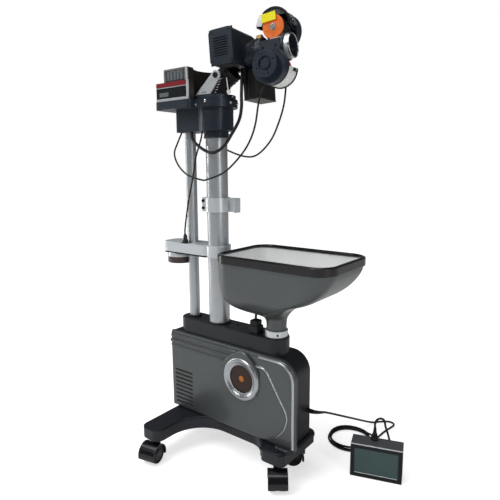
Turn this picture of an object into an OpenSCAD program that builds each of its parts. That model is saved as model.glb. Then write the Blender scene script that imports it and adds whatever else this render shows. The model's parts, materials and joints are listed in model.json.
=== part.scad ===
// Table tennis ball robot: hopper and feeder in a cabinet, a ball mast, and a two-wheel throwing head.
// Millimetres, +Z up, +X the throwing side. The mast is the reference for every position; mid_x moves
// the whole model so that its origin is the middle of its footprint on the floor.

/* [Ball] */
// Bore of the mast, the feeder and the barrel, for a 40 mm ball
bore_d = 43; // [42:0.5:44]

/* [Mast] */
// Outside diameter of the ball mast
mast_d = 50; // [49:0.5:51]
// Outside diameter of the support tube
support_d = 26; // [22:1:30]
// Height of the top end of the mast
mast_top = 857; // [857:1:858]

/* [Cabinet] */
// Height of the cabinet's top
cabinet_top = 287; // [285:1:288]
// Wall thickness of the moulded shells
wall = 3; // [2:0.5:4]

/* [Hopper] */
// Height of the hopper's rim
rim_top = 510; // [500:5:530]
// Half the hopper's width
hopper_half = 93; // [85:1:100]

/* [Head] */
// Angle the head is turned to about the mast
pan = 8; // [0:1:10]
// Angle the barrel is raised to
pitch = 4; // [0:1:6]
// Distance from the launch axis to each throwing wheel's axis
wheel_offset = 40.5; // [40.5:0.5:42]
// Radius of each throwing wheel
wheel_r = 22; // [21:0.5:22]

/* [Controller] */
// Width of the controller
ctrl_w = 114; // [100:1:130]
// Height of the controller
ctrl_h = 80; // [76:1:84]
// Angle the controller stands at
ctrl_yaw = 18; // [10:1:20]

/* [Hidden] */
$fn = 64;
mid_x = 132;
fit = 0.05;
bore_r = bore_d / 2;
mast_r = mast_d / 2;
support_x = -83.6;

// Base
base_z = 56;
base_top = 82;
arch_r = 90;
foot_arch_r = 50;
stem_r = 4;
stem_up = 16;
caster_wheel_r = 21;
caster_trail = 20;
// each caster: stem x, stem y, direction it trails in
casters = [[-86, -142, -78], [-86, 142, 78], [207, -51, -53], [207, 51, 214]];

// Cabinet and cover
cover_y = -41.6;
split_y = -30;
cabinet_y = 42;
cabinet_x0 = -130;
cabinet_x1 = 235;
cover_x0 = -134;
cover_x1 = 246;
top_arc = 45;
ring_x = 101.7;
ring_z = 217;
vent_count = 9;
switch_x = -62;
switch_z = 107;
switch_y = 38;
cord_y = 32;
cord_z = 150;

// Feeder
neck_x = 169.5;
feed_z = 185;
bend_r = 40;
feed_wheel_r = 41;
feed_start = 145;

// What the mast carries
clamp_z = 595;
clamp_h = 33;
bracket_z = 487;
bracket_h = 28;
can_x = -129;
hopper_x0 = 62;
hopper_x1 = 346;
plug_x = 119;
plug_y = -10;

// Head support
tray_z = 830;
case_clear_r = 50;
table_z = 848.3;
module_mm = 1.5;
pan_gear_teeth = 48;
pinion_teeth = 12;
gear_slack = 0.2;
pinion_x = -(gear_r(pan_gear_teeth) + gear_r(pinion_teeth) + gear_slack);

// Head, measured level and straight ahead
tilt_x = 22;
tilt_z = 897;
launch_z = 932.5;
wheel_x = 159.5;
roll_gear_teeth = 36;
roll_pinion_angle = 60;
roll_centres = gear_r(roll_gear_teeth) + gear_r(pinion_teeth) + gear_slack;
roll_pinion_y = roll_centres * cos(roll_pinion_angle);
roll_pinion_z = launch_z + roll_centres * sin(roll_pinion_angle);
lower_z = launch_z - wheel_offset;
drum_r = 37;
barrel_r = 25;

// Controller
ctrl_x = 322;
ctrl_y = 75;
ctrl_d = 42;
connector_x = 360;
connector_y = 120;

// Routes of the cords and cables, as points along each centre line
cord_r = 2.5;
head_cable_r = 3.5;
motor_cable_r = 2;
cord_route = [
    [247, 32, 150], [256, 42, 147], [258, 70, 136], [259, 130, 104], [260, 200, 66], [261, 270, 28],
    [264, 306, 9], [272, 322, 3], [288, 334, 3], [304, 350, 3], [317, 355, 3], [322, 342, 3],
    [318, 318, 3], [314, 290, 3], [312, 262, 3], [308, 236, 3]
];
tail_route = [
    [283, 259, 4], [297, 252, 7], [311, 244, 9], [326, 233, 6], [345, 217, 3], [366, 198, 3], [382, 180, 6],
    [388, 165, 22], [386, 154, 55], [381, 147, 88], [376, 137, 112], [370, 128, 127], [364, 122, 133],
    [360, 120, 124], [360, 120, 96]
];
coil_centre = [257, 209];
coil_r = 51;
coil_wide = 6;
coil_high = 10;
head_route = [
    [81, -3, 908], [88, -14, 888], [95, -24, 866], [99, -30, 846], [102, -34, 823], [97, -36, 797],
    [78, -38, 769], [57, -40, 744], [30, -40, 731], [5, -38, 733], [-29, -34, 749],
    [-50, -28, 764], [-56, -24, 780]
];
lower_route = [
    [149, -19, 862], [142, -21, 843], [137, -22, 825], [132, -26, 785], [121, -32, 751],
    [100, -38, 721], [61, -44, 688], [10, -46, 671], [-12, -46, 671], [-55, -44, 682],
    [-88, -40, 705], [-103, -36, 732], [-98, -28, 758], [-90, -22, 780]
];
upper_route = [
    [144, 66, 950], [150, 65, 925], [152, 62, 895], [152, 58, 860], [150, 54, 830], [140, 50, 795],
    [120, 48, 757], [87, 44, 727], [54, 42, 722], [6, 38, 736], [-40, 28, 762], [-52, 24, 780]
];
bracket_route = [
    [-14, -32, 780], [-22, -28, 764], [-32, -26, 745], [-40, -28, 722], [-51, -30, 671],
    [-68, -30, 612], [-85, -26, 550], [-87, -24, 531]
];
// the ball hose, about the mast as the head turns, and where it ends in the head's own frame
hose_r = 23;
hose_route = [
    [0, 0, 858], [0, 0, 862], [0.8, 0, 867], [5, 0, 877], [17, 0, 889], [36, 0, 899], [48, 0, 907.6]
];
hose_end_x = 48.7;
hose_end_z = 905.8;
hopper_route = [[119, -10, 354], [119, -10, 362], [121, -9, 372], [124, -8, 381]];

// Helpers -----------------------------------------------------------------------------------------

// Everything is drawn about the mast, then moved so that the footprint's middle is the origin.
module place() translate([-mid_x, 0, 0]) children();

// Frame that turns with the head about the mast.
module panned() place() rotate([0, 0, pan]) children();

// Frame that also tilts about the tilt pins.
module tilted() panned() translate([tilt_x, 0, tilt_z]) rotate([0, -pitch, 0])
    translate([-tilt_x, 0, -tilt_z]) children();

// Cylinder along +X from x, about the line y, z.
module rod_x(x, length, r, y = 0, z = launch_z) translate([x, y, z]) rotate([0, 90, 0])
    cylinder(h = length, r = r);

// Cylinder along +Y from y, about the line x, z.
module rod_y(y, length, r, x, z) translate([x, y, z]) rotate([-90, 0, 0])
    cylinder(h = length, r = r);

// Rectangle with round corners, from one corner to the other.
module round_box2(x0, y0, x1, y1, r) {
    translate([x0 + r, y0]) square([x1 - x0 - 2 * r, y1 - y0]);
    translate([x0, y0 + r]) square([x1 - x0, y1 - y0 - 2 * r]);
    for (x = [x0 + r, x1 - r]) for (y = [y0 + r, y1 - r]) translate([x, y]) circle(r = r);
}

// Upright block with round vertical corners.
module round_block(x0, y0, z0, x1, y1, z1, r) translate([0, 0, z0]) linear_extrude(z1 - z0)
    round_box2(x0, y0, x1, y1, r);

// Drawing in X and Z, made solid from y0 to y1.
module slab_y(y0, y1) translate([0, y1, 0]) rotate([90, 0, 0]) linear_extrude(y1 - y0) children();

// Spur gear with plain tapered teeth; the first tooth points along +X.
function gear_r(teeth) = module_mm * teeth / 2;
function gear_outline(teeth) = [
    for (i = [0:teeth - 1]) for (p = [[-0.38, -1.5], [-0.2, 1], [0.2, 1], [0.38, -1.5]])
        let (a = (i + p[0] * 0.62) * 360 / teeth, r = gear_r(teeth) + p[1]) [r * cos(a), r * sin(a)]
];
module gear(teeth, width) linear_extrude(width) polygon(gear_outline(teeth));

// A smooth curve through a route's points, and the tube that follows it.
function curve(a, b, c, d, t) = 0.5 * (2 * b + (c - a) * t + (2 * a - 5 * b + 4 * c - d) * t * t
    + (3 * b - a - 3 * c + d) * t * t * t);
function smooth(p, steps) = concat([
    for (i = [0:len(p) - 2]) for (k = [0:steps - 1])
        curve(p[max(i - 1, 0)], p[i], p[i + 1], p[min(i + 2, len(p) - 1)], k / steps)
], [p[len(p) - 1]]);
function unit(v) = v / norm(v);
function tangents(p) = [for (i = [0:len(p) - 1]) unit(p[min(i + 1, len(p) - 1)] - p[max(i - 1, 0)])];
function sides_of(t, u, i = 0) = i == len(t) ? []
    : let (v = unit(u - (u * t[i]) * t[i])) concat([v], sides_of(t, v, i + 1));
module tube(route, r, sides = 8, steps = 3) {
    p = smooth(route, steps);
    t = tangents(p);
    u = sides_of(t, [0.2, 0.9, 0.4]);
    n = len(p);
    points = [for (i = [0:n - 1]) for (k = [0:sides - 1])
        p[i] + r * (cos(k * 360 / sides) * u[i] + sin(k * 360 / sides) * cross(t[i], u[i]))];
    walls = [for (i = [0:n - 2]) for (k = [0:sides - 1])
        let (a = i * sides, b = a + sides, m = (k + 1) % sides)
            each [[a + k, b + k, b + m], [a + k, b + m, a + m]]];
    ends = [[for (k = [0:sides - 1]) k], [for (k = [0:sides - 1]) n * sides - 1 - k]];
    polyhedron(points, concat(walls, ends));
}

// The same tube with a bore through it.
module pipe(route, r, inner, sides, steps = 3) {
    p = smooth(route, steps);
    t = tangents(p);
    u = sides_of(t, [0.2, 0.9, 0.4]);
    n = len(p);
    in = n * sides;
    points = [for (q = [r, inner]) for (i = [0:n - 1]) for (k = [0:sides - 1])
        p[i] + q * (cos(k * 360 / sides) * u[i] + sin(k * 360 / sides) * cross(t[i], u[i]))];
    outside = [for (i = [0:n - 2]) for (k = [0:sides - 1])
        let (a = i * sides, b = a + sides, m = (k + 1) % sides)
            each [[a + k, b + k, b + m], [a + k, b + m, a + m]]];
    inside = [for (f = outside) [f[0] + in, f[2] + in, f[1] + in]];
    last = (n - 1) * sides;
    ends = [for (k = [0:sides - 1]) let (m = (k + 1) % sides) each [
        [k, m, in + m], [k, in + m, in + k],
        [last + m, last + k, in + last + k], [last + m, in + last + k, in + last + m]
    ]];
    polyhedron(points, concat(outside, inside, ends));
}

// Base and casters --------------------------------------------------------------------------------

module base_outline() {
    round_box2(-117, -166, -55, 166, 20);
    round_box2(171, -72, cabinet_x1 - 1, 72, 14);
    translate([-60, -31]) square([240, 62]);
    for (s = [-1, 1]) scale([1, s]) {
        difference() {
            translate([-55, -31 - arch_r]) square(arch_r);
            translate([-55 + arch_r, -31 - arch_r]) circle(r = arch_r);
        }
        difference() {
            translate([171 - foot_arch_r, -58]) square([foot_arch_r, 27]);
            translate([171 - foot_arch_r, -31 - foot_arch_r]) circle(r = foot_arch_r);
        }
    }
}

module base_chassis() color("#17181a") place() difference() {
    translate([0, 0, base_z]) linear_extrude(base_top - base_z) base_outline();
    for (c = casters) translate([c[0], c[1], base_z - 1]) cylinder(h = stem_up + 2, r = stem_r + fit);
}

// A caster stands at its stem and trails along +X before it's turned.
module at_caster(i) place() translate([casters[i][0], casters[i][1], 0]) rotate([0, 0, casters[i][2]])
    children();

module caster_hood(i) color("#1c1d1f") at_caster(i) {
    difference() {
        union() {
            rod_y(-22, 44, 26, caster_trail, caster_wheel_r);
            translate([0, 0, 24]) cylinder(h = base_z - 24.3, r = 9);
        }
        for (y = [-23, 3]) rod_y(y, 20, caster_wheel_r + 1.3, caster_trail, caster_wheel_r);
        translate([-15, -30, -10]) cube([80, 60, 24]);
        rod_y(-30, 60, 3 + fit, caster_trail, caster_wheel_r);
    }
    translate([0, 0, base_z - 1]) cylinder(h = stem_up, r = stem_r);
}

module caster_wheels(i) color("#0f0f10") at_caster(i) {
    rod_y(-20, 16.6, caster_wheel_r, caster_trail, caster_wheel_r);
    rod_y(3.4, 16.6, caster_wheel_r, caster_trail, caster_wheel_r);
    rod_y(-5, 10, 3, caster_trail, caster_wheel_r);
}

// Cabinet -----------------------------------------------------------------------------------------

// Outline in X and Z: square bottom, large round corner at the top right.
module cabinet_outline(x0, x1, inset = 0) {
    r = top_arc - inset;
    difference() {
        translate([x0 + inset, base_top + inset])
            square([x1 - x0 - 2 * inset, cabinet_top - base_top - 2 * inset]);
        difference() {
            translate([x1 - top_arc, cabinet_top - top_arc]) square(top_arc + 1);
            translate([x1 - top_arc, cabinet_top - top_arc]) circle(r = r);
        }
    }
}

module cabinet_body() color("#141517") place() {
    difference() {
        slab_y(split_y, cabinet_y) cabinet_outline(cabinet_x0, cabinet_x1);
        slab_y(split_y - 1, cabinet_y - wall) cabinet_outline(cabinet_x0, cabinet_x1, wall);
        translate([neck_x, 0, cabinet_top - 5]) cylinder(h = 10, r = barrel_r);
        translate([0, 0, cabinet_top - 5]) cylinder(h = 10, r = mast_r);
        rod_x(cabinet_x1 - 5, 10, 5, cord_y, cord_z);
        translate([-108, cabinet_y - 4, 100]) cube([28, 8, 20]);
        translate([switch_x - 10, cabinet_y - 4, switch_z - 7]) cube([20, 8, 14]);
    }
    mains_inlet();
}

// Mains inlet in the back wall: a lined socket with a plain mouth.
module mains_inlet() difference() {
    translate([-108, 24, 100]) cube([28, cabinet_y - 24, 20]);
    translate([-106, 26, 102]) cube([24, 20, 16]);
}

module front_cover() color("#4b4e4c") place() difference() {
    union() {
        slab_y(cover_y, split_y) cabinet_outline(cover_x0, cover_x1);
        for (z = [cabinet_top - 16, cabinet_top - 42]) slab_y(cover_y - 2, cover_y)
            translate([cover_x0 + 8, z]) square([180, 5]);
    }
    slab_y(cover_y + wall, split_y + 1) cabinet_outline(cover_x0, cover_x1, wall);
    for (i = [0:vent_count - 1]) translate([-118, cover_y - 5, 97 + i * 10.8]) cube([59, 12, 4.5]);
}

module cover_ring() color("#b8bbc0") place() {
    difference() {
        rod_y(cover_y - 9, 9, 51, ring_x, ring_z);
        rod_y(cover_y - 10, 8, 31, ring_x, ring_z);
        rod_y(cover_y - 10, 4, 44, ring_x, ring_z);
    }
}

module top_housing() color("#1a1b1e") place() difference() {
    translate([0, 0, cabinet_top]) linear_extrude(37) round_box2(-116, -30, 199, 30, 29.9);
    translate([0, 0, cabinet_top - 1]) linear_extrude(35) round_box2(-113, -27, 196, 27, 26.9);
    translate([0, 0, cabinet_top]) cylinder(h = 50, r = mast_r);
    translate([support_x, 0, cabinet_top]) cylinder(h = 50, r = support_d / 2);
    translate([neck_x, 0, cabinet_top]) cylinder(h = 50, r = bore_r);
}

// Feeder: balls drop down the chute, and the wheel pushes them along and up the mast.
module feed_tube() color("#d8d8d4") place() {
    translate([bend_r, 0, feed_z + bend_r]) rotate([90, 0, 180]) rotate_extrude(angle = -90)
        translate([bend_r, 0]) difference() {
            circle(r = barrel_r);
            circle(r = bore_r);
        }
    difference() {
        union() {
            rod_x(bend_r, feed_start - bend_r, barrel_r, 0, feed_z);
            translate([feed_start - 2, -27, feed_z - 27]) cube([53, 54, 52]);
            translate([neck_x, 0, feed_z]) cylinder(h = cabinet_top + 34 - feed_z, r = barrel_r);
        }
        rod_x(bend_r - 1, neck_x - bend_r, bore_r, 0, feed_z);
        translate([neck_x, 0, feed_z - 23]) cylinder(h = 200, r = bore_r + 0.5);
        translate([55, -9, feed_z]) cube([92, 18, 40]);
    }
}

module feed_wheel() color("#e8e4d8") place() difference() {
    union() {
        rod_y(-7, 14, feed_wheel_r, ring_x, ring_z);
        rod_y(7, 26, 3, ring_x, ring_z);
    }
    for (a = [0:72:359]) rod_y(-8, 16, 15, ring_x + 44 * cos(a + 20), ring_z + 44 * sin(a + 20));
}

module feed_motor() color("#8a8c90") place() difference() {
    rod_y(26, cabinet_y - wall - 26, 18, ring_x, ring_z);
    rod_y(25, 10, 3 + fit, ring_x, ring_z);
}

module power_supply() color("#b0b3b6") place() difference() {
    translate([-122, -24, 90]) cube([80, 47, 88]);
    for (i = [0:6]) translate([-115 + i * 10, -25, 98]) cube([4, 4, 70]);
}

module power_switch() color("#a01818") place() intersection() {
    rod_x(switch_x - 9.5, 19, 6.5, switch_y, switch_z);
    translate([switch_x - 10, switch_y - 4, switch_z - 8]) cube([20, 9.6, 16]);
}

// Mast and what it carries ------------------------------------------------------------------------

module ring(z, h, outer, inner) translate([0, 0, z]) difference() {
    cylinder(h = h, r = outer);
    translate([0, 0, -1]) cylinder(h = h + 2, r = inner);
}

module mast_tube() color("#c3c6ca") place() ring(feed_z + bend_r, mast_top - feed_z - bend_r, mast_r, bore_r);

module support_tube() color("#b9bdc2") place() translate([support_x, 0, 0])
    ring(cabinet_top, 780 - cabinet_top, support_d / 2, support_d / 2 - 2);

module mast_clamp() color("#c8cbcf") place() difference() {
    union() {
        ring(clamp_z, clamp_h, 29.5, mast_r);
        translate([-38, -13, clamp_z]) cube([12, 26, clamp_h]);
        translate([26, 8, clamp_z]) cube([34, 3, clamp_h]);
        translate([57, -9, clamp_z]) cube([3, 20, clamp_h]);
    }
    translate([0, 0, clamp_z - 1]) cylinder(h = clamp_h + 2, r = mast_r);
    translate([-40, -1.5, clamp_z - 1]) cube([20, 3, clamp_h + 2]);
    for (z = [clamp_z + 8, clamp_z + 25]) rod_y(-20, 40, 2, -34, z);
}

module clamp_screws() color("#151515") place() for (z = [clamp_z + 8, clamp_z + 25]) {
    rod_y(-13, 28, 2, -34, z);
    rod_y(-16, 3, 3.6, -34, z);
    rod_y(13, 3, 3.6, -34, z);
}

module pole_bracket() color("#c0c4c8") place() difference() {
    union() {
        round_block(-166, -30, bracket_z, -6, 30, bracket_z + bracket_h, 20);
        ring(bracket_z, bracket_h, 30, mast_r);
    }
    difference() {
        round_block(-163, -27, bracket_z - 1, -9, 27, bracket_z + bracket_h - wall, 17);
        translate([0, 0, bracket_z - 2]) cylinder(h = bracket_h + 4, r = 30);
        translate([support_x, 0, bracket_z - 2]) cylinder(h = bracket_h + 4, r = support_d / 2 + 3);
    }
    translate([0, 0, bracket_z - 2]) cylinder(h = bracket_h + 4, r = mast_r);
    translate([support_x, 0, bracket_z - 2]) cylinder(h = bracket_h + 4, r = support_d / 2);
}

module bracket_can() color("#b5b8bc") place() translate([can_x, 0, 0]) difference() {
    union() {
        translate([0, 0, 461]) cylinder(h = 26, r = 32.5);
        translate([0, 0, bracket_z]) cylinder(h = bracket_h - wall, r = 12);
    }
    translate([0, 0, 460]) cylinder(h = 10, r = 29);
}

// Hopper ------------------------------------------------------------------------------------------

module bowl_slice(z, x0, x1, half, r) translate([0, 0, z]) linear_extrude(0.5)
    round_box2(x0, -half, x1, half, r);
module bowl(t) hull() {
    bowl_slice(381 + t, 80 + t, 188 - t, 46 - t, 28, $fn = 32);
    bowl_slice(412 + t, 66 + t, 250 - t, 82 - t, 34, $fn = 32);
    bowl_slice(428 + t, 65 + t, 290 - t, 88 - t, 36, $fn = 32);
    bowl_slice(478 + t, hopper_x0 + t, hopper_x1 - t, hopper_half - t, 38, $fn = 32);
    bowl_slice(rim_top - 1 + t / 2, hopper_x0 + t, hopper_x1 - t, hopper_half - t, 38, $fn = 32);
}
module hopper_shell() color("#4b4e4c") place() {
    difference() {
        bowl(0);
        bowl(2.5);
        translate([neck_x, 0, 370]) cylinder(h = 30, r = bore_r);
    }
    translate([neck_x, 0, 0]) ring(324.3, 57, 22.6, bore_r);
}

module hopper_rim() color("#121212") place() difference() {
    round_block(hopper_x0 - 3, -hopper_half - 3, rim_top - 16,
        hopper_x1 + 3, hopper_half + 3, rim_top + 1.5, 41);
    round_block(hopper_x0, -hopper_half, rim_top - 20, hopper_x1, hopper_half, rim_top + 5, 38);
}

module hopper_collar() color("#c6c9cc") place() translate([neck_x, 0, 0]) difference() {
    ring(324, 16, 26, 22.6);
    translate([20, -1, 322]) cube([8, 2, 20]);
}

module hopper_plug() color("#111111") place()
    round_block(plug_x - 13, plug_y - 13, 324, plug_x + 13, plug_y + 13, 354, 3);

module hopper_cable() color("#0e0e0e") place() tube(hopper_route, 3, 8, 3);

// Head support ------------------------------------------------------------------------------------

module gearbox_housing() color("#191b20") place() difference() {
    union() {
        translate([0, 0, 780]) cylinder(h = tray_z - 780, r = 40);
        round_block(-103, -30, 780, 0, 30, tray_z, 6);
        translate([0, 0, 764]) cylinder(h = 17, r = 28.5);
    }
    difference() {
        union() {
            translate([0, 0, 783]) cylinder(h = tray_z - 786, r = 37);
            round_block(-100, -27, 783, 0, 27, tray_z - wall, 4);
        }
        translate([0, 0, 780]) cylinder(h = 60, r = 28);
    }
    translate([0, 0, 760]) cylinder(h = 80, r = mast_r);
    translate([pinion_x, 0, 800]) cylinder(h = 40, r = 2.5);
}

module head_tray() color("#17191c") place() difference() {
    translate([0, 0, tray_z]) linear_extrude(18) difference() {
        union() {
            circle(r = 50);
            round_box2(-132, -66, -20, 48, 8);
            translate([-40, -49]) square([40, 97]);
        }
        translate([-20, -80]) square([60, 31.5]);
    }
    translate([0, 0, tray_z - 1]) cylinder(h = 30, r = mast_r);
    translate([0, 0, tray_z + 2]) cylinder(h = 20, r = 39);
    translate([pinion_x, 0, tray_z + 2]) cylinder(h = 14.3, r = 11.5);
    translate([pinion_x, 0, tray_z - 1]) cylinder(h = 5, r = 2.5);
}

module driver_case() color("#2a2b2d") place() difference() {
    union() {
        translate([-128, -62, 848]) cube([102, 107, 42]);
        translate([-104, -59, 852]) cube([74, 104, 66]);
    }
    difference() {
        union() {
            translate([-125, -59, 851]) cube([96, 101, 36]);
            translate([-101, -56, 851]) cube([68, 98, 64]);
        }
        translate([0, 0, 840]) cylinder(h = 80, r = case_clear_r + wall);
    }
    translate([0, 0, 840]) cylinder(h = 80, r = case_clear_r);
    for (i = [0:5]) translate([-97 + i * 10.5, -60, 896]) cube([3, 10, 16]);
}

module pan_motor() color("#7c7f84") place() difference() {
    translate([pinion_x, 0, 788]) cylinder(h = 36, r = 14);
    translate([0, 0, 780]) cylinder(h = 60, r = 29);
    translate([pinion_x, 0, 800]) cylinder(h = 40, r = 2 + fit);
}

module pan_pinion() color("#c9b26a") place() translate([pinion_x, 0, 0]) {
    translate([0, 0, 834]) rotate([0, 0, 180 / pinion_teeth]) gear(pinion_teeth, 12);
    translate([0, 0, 802]) cylinder(h = 33, r = 2);
}

module turntable() color("#15171b") place() difference() {
    union() {
        translate([0, 0, table_z]) cylinder(h = 8.7, r = 46);
        translate([0, 0, 834]) gear(pan_gear_teeth, 12);
        translate([0, 0, 832.3]) cylinder(h = 17, r = 33);
    }
    translate([0, 0, 820]) cylinder(h = 60, r = mast_r + fit);
}

module arm_outline(inset = 0) {
    polygon([[-34 + 2 * inset, 857 + inset], [6 - inset, 857 + inset], [32 - inset, 893], [14 + inset, 904]]);
    translate([tilt_x, tilt_z]) circle(r = 11 - inset);
}
module tilt_arms() color("#c4c7cb") panned() for (s = [-1, 1]) scale([1, s, 1]) difference() {
    union() {
        slab_y(28, 33) arm_outline();
        translate([-22, 28, 857]) cube([28, 9, 4]);
    }
    slab_y(31.5, 34) polygon([[-24, 861], [2, 861], [20, 885], [13, 892]]);
    rod_y(20, 30, 4 + fit, tilt_x, tilt_z);
}

module ball_hose() color("#0c0c0c") panned() pipe(hose_route, hose_r, hose_r - 2, 20);

// Head --------------------------------------------------------------------------------------------

// Octagon-cornered section of the head housing in X and Z.
module housing_outline(inset = 0) {
    c = 7 - inset / 2;
    x0 = 32 + inset;
    x1 = 89 - inset;
    z0 = 908 + inset;
    z1 = 980 - inset;
    polygon([[x0 + c, z0], [x1 - c, z0], [x1, z0 + c], [x1, z1 - c], [x1 - c, z1], [x0 + c, z1],
        [x0, z1 - c], [x0, z0 + c]]);
}
module head_housing() color("#1b2026") tilted() difference() {
    union() {
        slab_y(-62, 35) housing_outline();
        rod_x(88, 34, 24);
        for (s = [-1, 1]) scale([1, s, 1]) {
            slab_y(23.6, 27.6) {
                translate([tilt_x, tilt_z]) circle(r = 9);
                polygon([[20, 889], [36, 905], [40, 909], [33, 912], [14, 901]]);
            }
            rod_y(24, 9, 4, tilt_x, tilt_z);
        }
    }
    slab_y(-63, 32.5) housing_outline(2.5);
    rod_x(85, 40, bore_r);
    translate([hose_end_x, 0, hose_end_z]) rotate([0, 58, 0]) translate([0, 0, -30])
        cylinder(h = 45, r = hose_r + 0.6);
    rod_x(80, 20, 2.5 + fit, roll_pinion_y, roll_pinion_z);
}

module end_cover() color("#20262d") tilted() difference() {
    slab_y(-65, -62) housing_outline();
    for (i = [0:7]) translate([43, -70, 925 + i * 5]) cube([34, 10, 2.2]);
}

module drive_box() color("#15181c") tilted() difference() {
    union() {
        round_block(73, -4, 840, 113.5, 74, 903, 3);
        translate([75, 2, 900]) cube([12, 30, 8]);
        for (i = [0:3]) translate([79 + i * 9, -6, 843]) cube([3, 3, 58]);
    }
    round_block(75.5, -1.5, 842.5, 111, 71.5, 900.5, 2);
}

module roll_motor() color("#7c7f84") tilted() difference() {
    rod_x(49, 32, 11, roll_pinion_y, roll_pinion_z);
    rod_x(70, 30, 2.5 + fit, roll_pinion_y, roll_pinion_z);
}

module roll_pinion() color("#c9b26a") tilted() {
    translate([105, roll_pinion_y, roll_pinion_z]) rotate([90, 0, 90])
        rotate([0, 0, roll_pinion_angle + 180 + 180 / pinion_teeth]) gear(pinion_teeth, 12);
    rod_x(74, 32, 2.5, roll_pinion_y, roll_pinion_z);
}

// Ring gear on the head's spigot, which carries the launch frame.
module roll_ring() difference() {
    union() {
        translate([105, 0, launch_z]) rotate([90, 0, 90]) gear(roll_gear_teeth, 12);
        rod_x(116.5, 9, 26);
    }
    rod_x(100, 30, 24 + fit);
}

// The throwing parts are drawn for the wheel below the launch axis, and this turns them to the upper one.
module upper_half() translate([0, 0, 2 * launch_z]) rotate([180, 0, 0]) children();

module frame_side() difference() {
    union() {
        translate([131, -28, launch_z - 13.5]) cube([48, 5.5, 27]);
        rod_y(-28, 5.5, 20, wheel_x, lower_z);
        translate([145, -28, lower_z]) cube([29, 5.5, wheel_offset]);
    }
    rod_y(-40, 30, 4, wheel_x, lower_z);
    for (x = [139, 169]) rod_y(-40, 30, 2.2, x, launch_z);
}

module launch_frame() color("#23272c") tilted() {
    difference() {
        union() {
            rod_x(125, 6, 28);
            rod_x(179, 6, 28);
        }
        rod_x(120, 20, bore_r);
        rod_x(170, 20, barrel_r);
    }
    roll_ring();
    frame_side();
    upper_half() frame_side();
}

module barrel() color("#c2c6ca") tilted() difference() {
    rod_x(153, 43, barrel_r);
    rod_x(150, 50, bore_r);
    rod_x(182, 20, bore_r + 0.3);
    translate([150, -17.5, 900]) cube([28, 35, 70]);
    for (y = [-42.4, 22.4]) translate([150, y, 900]) cube([29, 20, 70]);
}

module drum() difference() {
    union() {
        rod_y(-48, 20, drum_r, wheel_x, lower_z);
        rod_y(-62, 20, 26, wheel_x, lower_z);
    }
    difference() {
        rod_y(-45, 25, drum_r - wall, wheel_x, lower_z);
        rod_y(-46, 14, 19, wheel_x, lower_z);
    }
    translate([wheel_x - 50, -70, launch_z - 11]) cube([100, 60, 60]);
    rod_y(-50, 30, 3 + fit, wheel_x, lower_z);
    difference() {
        rod_y(-63, 4.5, 15, wheel_x, lower_z);
        rod_y(-61.5, 4, 9.5, wheel_x, lower_z);
    }
    for (a = [20, 110, 200, 290]) rod_y(-63, 5, 1.6, wheel_x + 20 * cos(a), lower_z + 20 * sin(a));
}
module lower_motor() color("#1d2125") tilted() drum();
module upper_motor() color("#1d2125") tilted() upper_half() drum();

module guard_band() difference() {
    union() {
        rod_y(-28, 41, drum_r, wheel_x, lower_z);
        rod_y(11, 3, 39, wheel_x, lower_z);
    }
    rod_y(-30, 50, 35, wheel_x, lower_z);
    translate([wheel_x - 50, -40, lower_z - 4]) cube([100, 80, 60]);
}
module lower_guard() color("#dcdcda") tilted() guard_band();
module upper_guard() color("#e9eef0") tilted() upper_half() guard_band();

module throwing_wheel() {
    rod_y(-12, 24, wheel_r, wheel_x, lower_z);
    rod_y(12, 4, 24, wheel_x, lower_z);
    rod_y(-44, 33, 3, wheel_x, lower_z);
}
module lower_wheel() color("#e8622a") tilted() throwing_wheel();
module upper_wheel() color("#e8622a") tilted() upper_half() throwing_wheel();

// Cables ------------------------------------------------------------------------------------------

module head_cable() color("#0c0c0c") place() tube(head_route, head_cable_r, 8, 3);
module lower_motor_cable() color("#0c0c0c") place() tube(lower_route, motor_cable_r, 8, 4);
module upper_motor_cable() color("#0c0c0c") place() tube(upper_route, motor_cable_r, 8, 4);
module bracket_cable() color("#0c0c0c") place() tube(bracket_route, motor_cable_r, 8, 4);

// Controller --------------------------------------------------------------------------------------

module at_controller() place() translate([ctrl_x, ctrl_y, 0]) rotate([0, 0, ctrl_yaw]) children();
module controller_case() color("#3b3d40") at_controller() difference() {
    round_block(0, 0, 0, ctrl_w, ctrl_d, ctrl_h, 2);
    translate([wall, -1, wall]) cube([ctrl_w - 2 * wall, ctrl_d - wall + 1, ctrl_h - 2 * wall]);
}
module controller_screen() color("#22302c") at_controller() translate([wall + 0.2, 1, wall + 0.2])
    cube([ctrl_w - 2 * wall - 0.4, 3, ctrl_h - 2 * wall - 0.4]);

module controller_connector() color("#101010") place() translate([connector_x, connector_y, ctrl_h]) {
    cylinder(h = 8, r = 8);
    cylinder(h = 16, r = 5);
}

module cord_gland() color("#101010") place() rod_x(cabinet_x1 - wall, 12 + wall, 5, cord_y, cord_z);

module controller_cord() color("#0b0b0b") place() {
    tube(cord_route, cord_r, 8, 3);
    tube(tail_route, cord_r, 8, 3);
}

module controller_cord_coil() color("#0b0b0b") place() translate([coil_centre[0], coil_centre[1], 0])
    rotate_extrude() translate([coil_r - coil_wide, 0.4]) square([2 * coil_wide, coil_high]);

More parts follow.
